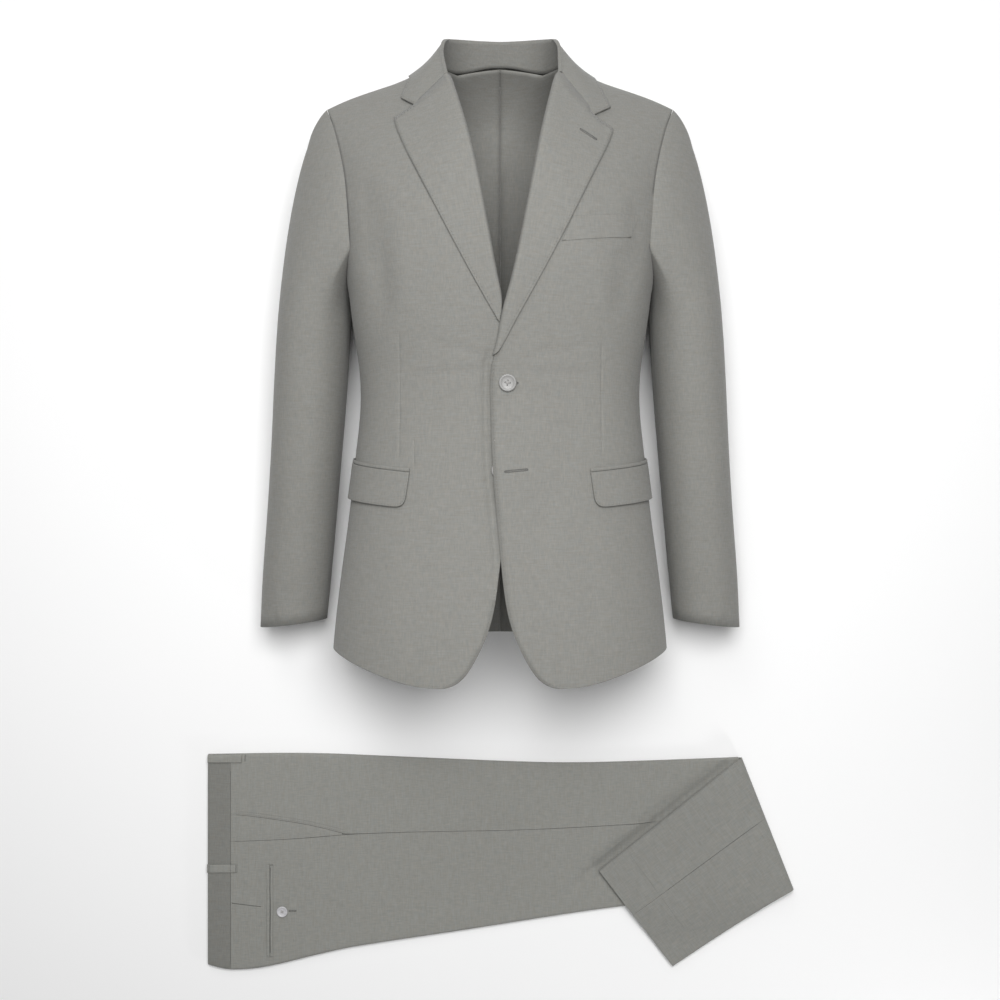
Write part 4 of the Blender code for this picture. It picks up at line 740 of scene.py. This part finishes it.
# The slit's painted shade, a dark strip: half width, height over the cloth, depth
SLIT_HALF, SLIT_LIFT, SLIT_DEPTH = 0.0002, 0.00012, 0.0004


def add_buttonhole(threads, slit_shades, tree, start, end, half=0.0016, radius=STITCH_RADIUS):
    """Bound slit from start to end (x, y): close threads on both sides and round the ends, and a
    dark strip in the slit as its painted shade.
    """
    low, high = Vector((*start, 0.0)), Vector((*end, 0.0))
    run = high - low
    ahead = run.normalized()
    side = Vector((-ahead.y, ahead.x, 0.0))

    def bind(middle, outward, along):
        spot = middle + outward * half * BINDING_PLACE
        hit = drop_onto(tree, spot.x, spot.y)
        add_stitch(threads, hit[0], hit[1], along, half * BINDING_LENGTH, radius)

    count = max(2, int(run.length / BINDING_STEP))
    for k in range(count + 1):
        for way in (1, -1):
            bind(low + run * (k / count), side * way, side)
    for tip, outward in ((low, -ahead), (high, ahead)):
        for turn in TIP_TURNS:
            spoke = outward * math.cos(turn) + side * math.sin(turn)
            bind(tip, spoke, spoke)
    (low, low_up), (high, high_up) = [drop_onto(tree, *spot) for spot in (start, end)]
    low, high, wide = low + low_up * SLIT_LIFT, high + high_up * SLIT_LIFT, side * SLIT_HALF
    corners = [low - wide, high - wide, high + wide, low + wide]
    tops = [slit_shades.verts.new(corner) for corner in corners]
    bottoms = [slit_shades.verts.new(corner - low_up * SLIT_DEPTH) for corner in corners]
    slit_shades.faces.new(tops)
    slit_shades.faces.new(bottoms[::-1])
    join_rings(slit_shades, bottoms, tops)


# Buttonholes as start and end (x, y): lapel, under the upper button, below it
JACKET_HOLES = [
    ((0.0968, 0.4662), (0.1152, 0.4555)),
    ((0.0015, 0.1616), (0.0203, 0.1610)),
    ((0.0060, 0.0540), (0.0318, 0.0566)),
]
# The dark strip in each buttonhole's slit is painted shade
slit_shade_look = thread_look("Painted slit shade", (0.170, 0.168, 0.158))
# Buttonhole thread tinted darker than the cotton: real thread with painted shade round its raised
# purl
shaded_binding_look = thread_look("Buttonhole thread with painted shade", (0.105, 0.104, 0.098))
jacket_top = tree_of([made["front_left"], made["lapel_left"]])
bindings, slit_shades = bmesh.new(), bmesh.new()
for start, end in JACKET_HOLES:
    add_buttonhole(bindings, slit_shades, jacket_top, start, end)
finish_mesh(bindings, "jacket_buttonholes", shaded_binding_look)
finish_mesh(slit_shades, "jacket_buttonhole_slit_shades", slit_shade_look)

# Buttons
# Pale horn-like plastic with a raised rim, a dished middle and four holes. Each is sewn on with
# crossed cotton: two on the jacket's front and a smaller one at the trousers' back pocket.

# Section from the axis at the back, over the rim, to the axis in front, as shares of the radius
# and of the thickness
BUTTON_SECTION = [
    (0.00, 0.00),
    (0.70, 0.00),
    (0.90, 0.08),
    (0.985, 0.28),
    (1.00, 0.50),
    (0.985, 0.74),
    (0.93, 0.93),
    (0.86, 1.00),
    (0.79, 0.95),
    (0.72, 0.80),
    (0.62, 0.70),
    (0.45, 0.65),
    (0.25, 0.62),
    (0.00, 0.61),
]
BUTTON_SIDES, HOLE_SIDES, SHANK_SIDES = 72, 20, 16
BUTTON_EDGE = math.radians(40)
# Holes and thread as shares of the button's radius
HOLE_OFFSET, HOLE_RADIUS = 0.25, 0.095
STRAND_RADIUS = HOLE_RADIUS * 0.30
SHANK_RADIUS = HOLE_OFFSET * 0.9
SHANK_LEVELS = (0.0003, -0.0009, -0.0016)
# Middle of the button, where the thread lies on it, and how far it dips, in its thickness
THREAD_LEVEL, THREAD_DIP = 0.62, 0.6
BUTTON_TINT = (0.295, 0.292, 0.284)
SMALL_BUTTON_TINT = (0.52, 0.515, 0.53)
BUTTON_THREAD_TINT = (0.36, 0.35, 0.34)

HORN = mottled("Horn clouds", 160.0, 4.0, 1.6, (0.30, 0.70), (0.90, 1.08))


def button_look(name, tint):
    """Satin plastic with faint cloudy swirls, as horn has."""
    look, shader, clouds = patterned(name, HORN, tint, 0.15, 0.0001)
    rough = look.node_tree.nodes.new("ShaderNodeMapRange")
    rough.inputs["To Min"].default_value = 0.30
    rough.inputs["To Max"].default_value = 0.46
    look.node_tree.links.new(clouds.outputs["Height"], rough.inputs["Value"])
    look.node_tree.links.new(rough.outputs["Result"], shader.inputs["Roughness"])
    return look


def four_hole_button(node, look, twist, tuck=0.0):
    """Turned button in the place of its CAD solid, with its crossed thread."""
    solid = np.array([vertex.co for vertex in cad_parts[node].data.vertices])
    centre = solid.mean(axis=0)
    facing = np.linalg.svd(solid - centre)[2][2]
    facing = Vector(facing if facing[2] > 0 else -facing)
    heights = (solid - centre) @ np.array(facing)
    spread = np.linalg.norm(np.cross(solid - centre, np.array(facing)), axis=1)
    radius, thick = spread.max(), np.ptp(heights)
    base = Vector(centre) + facing * heights.min() + Vector((tuck, 0.0, 0.0))
    right = Vector((0.0, 1.0, 0.0)).cross(facing).normalized()
    up = facing.cross(right)

    def spoke(angle):
        return right * math.cos(angle) + up * math.sin(angle)

    def ring_at(mesh, level, out, sides):
        turns = [2 * math.pi * k / sides for k in range(sides)]
        return [mesh.verts.new(level + spoke(turn) * out) for turn in turns]

    work = bmesh.new()
    last = None
    for out, rise in BUTTON_SECTION:
        level = base + facing * rise * thick
        if out == 0.0:
            ring = [work.verts.new(level)] * BUTTON_SIDES
        else:
            ring = ring_at(work, level, out * radius, BUTTON_SIDES)
        if last:
            join_rings(work, last, ring)
        last = ring
    button = finish_mesh(work, node + "_turned", look)

    drill = bmesh.new()
    holes = [spoke(twist + math.pi / 2 * k) * HOLE_OFFSET * radius for k in range(4)]
    for hole in holes:
        low, high = (ring_at(drill, base + facing * rise * thick + hole, HOLE_RADIUS * radius,
                             HOLE_SIDES) for rise in (-0.5, 1.5))
        join_rings(drill, low, high)
        drill.faces.new(low[::-1])
        drill.faces.new(high)
    bmesh.ops.recalc_face_normals(drill, faces=drill.faces)
    drill_mesh = bpy.data.meshes.new("drill")
    drill.to_mesh(drill_mesh)
    drill.free()
    cutter = bpy.data.objects.new("drill", drill_mesh)
    bpy.context.scene.collection.objects.link(cutter)
    cut = button.modifiers.new("Holes", "BOOLEAN")
    cut.operation = "DIFFERENCE"
    cut.object = cutter
    bake(button)
    bpy.data.objects.remove(cutter, do_unlink=True)
    button.data.shade_smooth()
    button.data.set_sharp_from_angle(angle=BUTTON_EDGE)
    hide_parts(node)

    threads = bmesh.new()
    face = base + facing * THREAD_LEVEL * thick
    dip = facing * thick * THREAD_DIP
    gauge = STRAND_RADIUS * radius
    for k in range(2):
        ahead = holes[k + 2] - holes[k]
        beside = ahead.cross(facing).normalized()
        for strand in (-1, 0, 1):
            shift = beside * strand * gauge * 1.7
            lift = facing * (gauge * (1.2 + k * 1.6))
            path = [face + holes[k] + shift * 0.5 - dip,
                    face + holes[k] + shift * 0.7,
                    face + holes[k] * 0.7 + shift + lift,
                    face + shift + lift * 1.25,
                    face + holes[k + 2] * 0.7 + shift + lift,
                    face + holes[k + 2] + shift * 0.7,
                    face + holes[k + 2] + shift * 0.5 - dip]
            add_thread(threads, path, beside.cross(facing.cross(beside)), gauge)
    rings = [ring_at(threads, base + facing * drop, SHANK_RADIUS * radius, SHANK_SIDES)
             for drop in SHANK_LEVELS]
    for low, high in zip(rings, rings[1:]):
        join_rings(threads, low, high)
    threads.faces.new(rings[0][::-1])
    threads.faces.new(rings[-1])
    finish_mesh(threads, node + "_thread", button_thread)


button_thread = thread_look("Button thread", BUTTON_THREAD_TINT)
button_plastic = button_look("Button plastic", BUTTON_TINT)
pale_plastic = button_look("Small button plastic", SMALL_BUTTON_TINT)
four_hole_button("button_front_upper", button_plastic, math.radians(-8))
four_hole_button("button_front_lower", button_plastic, math.radians(20), tuck=0.0016)
four_hole_button("button_back_pocket", pale_plastic, math.radians(40))

# Folded legs of the trousers
# The same suiting as the jacket, its legs' tint painted lighter than the jacket's as painted
# light. Both legs lie one on the other, pressed flat along their creases, so the cloth has only
# low, long waves.
# The legs' tint is painted lighter than the jacket's as painted light
TROUSER_LIT_TINT = (0.254, 0.2536, 0.2342)
# The waistband's tint is darker than the legs' as painted shade
BAND_SHADED_TINT = (0.196, 0.1956, 0.1806)
# Height of the folded legs, at which a wave is full, and the share it may reach above
LEG_HEIGHT, MOST_WAVE = 0.0095, 1.2
LEG_WAVES = [
    (-0.3000, -0.3800, -0.0500, -0.3900, 0.0220, 0.0006),
    (-0.1000, -0.4250, 0.1800, -0.4150, 0.0200, 0.0007),
    (-0.2200, -0.5400, 0.0500, -0.5200, 0.0240, 0.0008),
    (0.0200, -0.4800, 0.1400, -0.4700, 0.0160, 0.0006),
    (-0.3300, -0.5000, -0.2600, -0.5900, 0.0180, 0.0005),
]
# Hollow beside the turned-back end: start x, y, end x, y, half width, depth
TURN_HOLLOW = [(0.1050, -0.5070, 0.3220, -0.3340, 0.0105, 0.0056)]
# Upper corner of the leg end, drawn under the turned-back end: x, y, reach, shift, hold
LEG_CORNER = (0.3170, -0.3320, 0.0160, 0.0045, 1.6)
BACK_DART = [(-0.3700, -0.5309, -0.3260, -0.5364)]
BACK_DART_DEPTH = 0.0008
LIT_LEG_LOOK = cloth("Trouser cloth with painted light", TROUSER_LIT_TINT, turn=math.pi / 2)
SHADED_BAND_LOOK = cloth("Waistband cloth", BAND_SHADED_TINT)


def settle_legs(points):
    """Low waves in the folded legs, growing from nothing at the surface they lie on."""
    depth = fold_depth(points, LEG_WAVES) + np.maximum(fold_depth(points, TURN_HOLLOW), 0.0)
    share = np.clip(points[:, 2] / LEG_HEIGHT, 0.0, MOST_WAVE)
    x, y, reach, shift, hold = LEG_CORNER
    away = np.linalg.norm(points[:, :2] - np.array([x, y]), axis=1)
    moved = points.copy()
    moved[:, 0] += shift * soft_step(hold * (1 - away / reach))
    moved[:, 2] -= depth * share
    return moved


LARGE_LEG_PIECES = ("leg_front_panel", "leg_back_panel", "leg_inner_layers")
# Pieces: flat width and length, flat area, material
LEG_PIECES = {
    "leg_front_panel": ((0.13, 0.74), 0.0673, LIT_LEG_LOOK),
    "leg_back_panel": ((0.21, 0.77), 0.1010, LIT_LEG_LOOK),
    "pocket_front_piece": ((0.040, 0.155), 0.0038, LIT_LEG_LOOK),
    "leg_inner_layers": ((0.30, 0.79), 0.1787, LIT_LEG_LOOK),
    "waistband": ((0.034, 0.300), None, SHADED_BAND_LOOK),
    "back_pocket_welt_upper": ((0.126, 0.010), 0.0006, LIT_LEG_LOOK),
    "back_pocket_welt_lower": ((0.126, 0.010), 0.0006, LIT_LEG_LOOK),
    "belt_loop_front": ((0.012, 0.047), None, LIT_LEG_LOOK),
    "belt_loop_side": ((0.012, 0.042), None, LIT_LEG_LOOK),
}
for node, (flat, area, look) in LEG_PIECES.items():
    large = node in LARGE_LEG_PIECES
    darts = BACK_DART if node == "leg_back_panel" else ()
    beside_turn = [TURN_HOLLOW[0][:5]] if large else []
    piece = finer_wall(node, node + "_cloth", levels=2 if large else 1,
                       lines=[(*dart, DART_HALF) for dart in darts] + beside_turn)
    points = points_of(piece)
    moved = settle_legs(points)
    if darts:
        moved[:, 2] -= groove_depth(points, darts, DART_HALF, BACK_DART_DEPTH)
    put_points(piece, moved)
    rests_on = [] if node == "leg_inner_layers" else ["leg_inner_layers"]
    made[node] = finish_piece(piece, look, node,
                              pressed=True)

# Turned-back leg end
# The hem end of the upper leg is folded back diagonally over the legs. Its side seam runs down
# the middle and the hem is felled inside, whose edge makes a faint line across; a dark thread
# paints that line's shade.
# The turned end's tint is a little darker than the legs' as painted shade
TURN_SHADED_TINT = (0.240, 0.2398, 0.2225)
TURN_WAVES = [
    (0.3300, -0.4050, 0.2000, -0.4950, 0.0200, 0.0010),
    (0.3600, -0.4800, 0.2300, -0.5700, 0.0220, -0.0008),
    (0.2300, -0.4500, 0.2000, -0.5100, 0.0150, 0.0008),
]
# A wave grows from nothing at this height, over this much more
TURN_WAVE_RISE = (0.004, 0.010)
# The side seam lies nearer the fold than the solid's: its ends x, y, slides x, y, reach
TURN_SEAM = ((0.1871, -0.5410), (0.3560, -0.4230))
SEAM_SLIDES = ((-0.0051, 0.0065), (-0.0031, 0.0077))
SLIDE_REACH = 0.040
SHADED_TURN_LOOK = cloth("Turned end cloth with painted shade", TURN_SHADED_TINT, turn=0.946)
# Pieces: flat width and length, flat area
TURN_PIECES = {
    "turned_front_panel": ((0.11, 0.26), 0.0229),
    "turned_back_panel": ((0.11, 0.25), 0.0208),
    "turned_inner_layers": ((0.19, 0.24), 0.0388),
}


def slide_seam(points):
    """Move the cloth beside the turned end's seam along the hem, most of all at the seam."""
    start, end = (np.array(spot) for spot in TURN_SEAM)
    run = end - start
    length = np.linalg.norm(run)
    along = np.clip((points[:, :2] - start) @ run / length ** 2, 0.0, 1.0)[:, None]
    away = np.abs((points[:, :2] - start) @ np.array([-run[1], run[0]])) / length
    slide = (1 - along) * np.array(SEAM_SLIDES[0]) + along * np.array(SEAM_SLIDES[1])
    moved = points.copy()
    moved[:, :2] += slide * soft_step(1 - away / SLIDE_REACH)[:, None]
    return moved


for node, (flat, area) in TURN_PIECES.items():
    piece = finer_wall(node, node + "_cloth")
    points = slide_seam(points_of(piece))
    share = soft_step((points[:, 2] - TURN_WAVE_RISE[0]) / TURN_WAVE_RISE[1])
    points[:, 2] -= fold_depth(points, TURN_WAVES) * share
    put_points(piece, points)
    made[node] = finish_piece(piece, SHADED_TURN_LOOK, node,
                              pressed=True)

# Stitches, buttonhole and painted seam shadows of the trousers
# Two rows hold the slanted pocket's mouth, bars hold its ends and the belt loops, and the small
# buttonhole below the back pocket is bound like those of the jacket. Dark threads laid in the
# seams, the dart and the back pocket's slit are painted shadow lines.
trouser_cotton = thread_look("Trouser cotton", (0.190, 0.189, 0.174))
# Rows beside the pocket's mouth: set in by these, with stitches of this step and length
POCKET_ROWS = (0.0018, 0.0050)
POCKET_STEP, POCKET_STITCH = 0.0030, 0.0021
POCKET_MOUTH = [(-0.3640, -0.4120), (-0.3020, -0.4180), (-0.2130, -0.4375)]
# Bars of close thread as start and end (x, y), with stitches of this step and length
BAR_STEP, BAR_STITCH = 0.00050, 0.0013
BARS = [
    ((-0.3490, -0.3370), (-0.3490, -0.3285)),
    ((-0.3612, -0.4885), (-0.3612, -0.4785)),
    ((-0.3980, -0.4885), (-0.3980, -0.4785)),
    ((-0.3152, -0.6040), (-0.3108, -0.6040)),
    ((-0.3152, -0.4790), (-0.3108, -0.4790)),
]
# Small buttonhole as start and end (x, y), half width and thread radius
SMALL_HOLE = ((-0.2885, -0.5418), (-0.2800, -0.5418), 0.0011, 0.00020)
rows = bmesh.new()
for inset in POCKET_ROWS:
    sew_inside(rows, made["leg_front_panel"], POCKET_MOUTH, inset, POCKET_STEP, POCKET_STITCH)
leg_top = tree_of([made[node] for node in LEG_PIECES])
for start, end in BARS:
    run = Vector((end[0] - start[0], end[1] - start[1], 0.0))
    across = Vector((-run.y, run.x, 0.0)).normalized()
    count = int(run.length / BAR_STEP)
    for k in range(count + 1):
        spot = Vector((*start, 0.0)) + run * (k / count)
        hit = drop_onto(leg_top, spot.x, spot.y)
        if hit:
            add_stitch(rows, hit[0], hit[1], across, BAR_STITCH, STITCH_RADIUS)
finish_mesh(rows, "trouser_stitches", trouser_cotton)


# Painted seam shadows: a dark thread's step along its line, its sink below the cloth, and spots
# beside the line where the cloth's height is read
SEAM_STEP, SEAM_SINK = 0.0040, 0.00005
SEAM_SIDES = (-0.0009, 0.0, 0.0009)


def lay_shadow_thread(work, tree, path, radius):
    """A continuous dark thread in a seam's ditch or along a line, painted as its shadow line, at
    the height of the cloth on both sides.
    """
    path = evenly(np.array(path), SEAM_STEP)
    spots = []
    for spot, side in zip(path, across_of(path)[1]):
        hits = [drop_onto(tree, *(spot + side * away)) for away in SEAM_SIDES]
        heights = [hit[0].z for hit in hits if hit]
        if heights:
            spots.append(Vector((*spot, max(heights) - SEAM_SINK)))
    add_thread(work, spots, Vector((0.0, 0.0, 1.0)), radius)


# Radii of the dark threads painted as shade lines: in a seam, in the back pocket's slit and along
# the hem
SEAM_SHADOW_RADIUS, SLIT_SHADOW_RADIUS, HEM_SHADE_RADIUS = 0.00030, 0.00050, 0.00022
# Painted seam shadows: the piece whose edge they follow and spots (x, y) that they pass; None is
# a free line
TROUSER_SEAM_SHADOWS = [
    ("waistband", [(-0.3687, -0.3480), (-0.3687, -0.6180)]),
    ("leg_back_panel", [(-0.3660, -0.4465), (-0.2900, -0.4430), (-0.2180, -0.4370),
                        (-0.1000, -0.4330), (0.0000, -0.4290), (0.2120, -0.4202)]),
    ("leg_front_panel", POCKET_MOUTH),
    (None, [(-0.3690, -0.5311), (-0.3240, -0.5366)]),
    ("turned_front_panel", [(0.1835, -0.5340), (0.2700, -0.4730), (0.3500, -0.4160)]),
]
# Back pocket's slit and the felled hem's line across the turned end, both painted as dark shade
# lines
POCKET_SLIT = [(-0.3144, -0.4800), (-0.3150, -0.5100), (-0.3141, -0.5400), (-0.3147, -0.5720),
               (-0.3143, -0.6015)]
HEM_LINE = [(0.1760, -0.4620), (0.2140, -0.5140), (0.2520, -0.5660)]
# The dark threads in the seams, the dart and the slit are painted shadow lines
seam_shadow_look = thread_look("Painted seam shadow", (0.085, 0.084, 0.078))
# The dark thread along the turned end's hem is a painted shade line
hem_shade_look = thread_look("Painted hem shade line", (0.170, 0.169, 0.156))
all_legs = tree_of([made[node] for node in (*LEG_PIECES, *TURN_PIECES)])
seam_shadows = bmesh.new()
for node, stops in TROUSER_SEAM_SHADOWS:
    path = rim_past(tree_of([made[node]]), stops, reach=0.006)[0] if node else stops
    lay_shadow_thread(seam_shadows, all_legs, path, SEAM_SHADOW_RADIUS)
lay_shadow_thread(seam_shadows, all_legs, POCKET_SLIT, SLIT_SHADOW_RADIUS)
finish_mesh(seam_shadows, "trouser_seam_shadows", seam_shadow_look)
hem_shade = bmesh.new()
lay_shadow_thread(hem_shade, all_legs, HEM_LINE, HEM_SHADE_RADIUS)
finish_mesh(hem_shade, "trouser_hem_shade_line", hem_shade_look)
# As on the jacket, the slit's dark strip and the darker binding thread are painted shade
bindings, slit_shades = bmesh.new(), bmesh.new()
add_buttonhole(bindings, slit_shades, leg_top, *SMALL_HOLE)
finish_mesh(bindings, "trouser_buttonhole", shaded_binding_look)
finish_mesh(slit_shades, "trouser_buttonhole_slit_shade", slit_shade_look)

# Floor, light and camera
# A plain pale surface lies under both garments. A wide lamp overhead gives most of the light,
# four small ones fill from the chest, the foot, the turned-back end and the head, and the camera
# looks straight down.
FLOOR_SIZE, FLOOR_GAP = 12.0, 0.0005
CAMERA_HEIGHT = 1.75
VIEW_CENTRE = (-0.0006, 0.0201)
LENS = 45.83
SKY = 0.15

floor_paint = bpy.data.materials.new("Floor paint")
floor_paint.use_nodes = True
floor_shader = floor_paint.node_tree.nodes["Principled BSDF"]
floor_shader.inputs["Base Color"].default_value = (0.94, 0.94, 0.94, 1.0)
floor_shader.inputs["Roughness"].default_value = 0.9
bpy.ops.mesh.primitive_plane_add(size=FLOOR_SIZE, location=(0.0, 0.0, -FLOOR_GAP))
floor = bpy.context.object
floor.name = "floor"
floor.data.materials.append(floor_paint)

view = bpy.data.cameras.new("Camera")
view.lens = LENS
camera = bpy.data.objects.new("Camera", view)
camera.location = (*VIEW_CENTRE, CAMERA_HEIGHT)
bpy.context.scene.collection.objects.link(camera)
bpy.context.scene.camera = camera

world = bpy.data.worlds.new("Studio")
world.use_nodes = True
world.node_tree.nodes["Background"].inputs["Color"].default_value = (1.0, 1.0, 1.0, 1.0)
world.node_tree.nodes["Background"].inputs["Strength"].default_value = SKY
bpy.context.scene.world = world


def area_light(name, location, aim, size, power):
    """A square lamp that points at a spot and isn't seen itself."""
    light = bpy.data.lights.new(name, "AREA")
    light.size = size
    light.energy = power
    lamp = bpy.data.objects.new(name, light)
    lamp.location = location
    lamp.rotation_mode = "QUATERNION"
    lamp.rotation_quaternion = (Vector(aim) - Vector(location)).to_track_quat("-Z", "Y")
    lamp.visible_camera = False
    bpy.context.scene.collection.objects.link(lamp)


area_light("Overhead", (0.15, 0.85, 2.85), (0.0, 0.2, 0.1), 1.6, 62.0)
area_light("Chest", (0.0, 0.28, 1.5), (0.0, 0.28, 0.1), 0.7, 6.5)
area_light("Foot side", (-0.6, -1.7, 2.2), (0.0, 0.1, 0.1), 1.4, 3.0)
area_light("Turned end", (0.80, -1.15, 0.40), (0.15, -0.45, 0.0), 0.16, 1.7)
area_light("Head side", (-0.8, 2.0, 1.8), (0.0, 0.2, 0.1), 1.2, 10.0)
bpy.context.scene.view_settings.view_transform = "Standard"
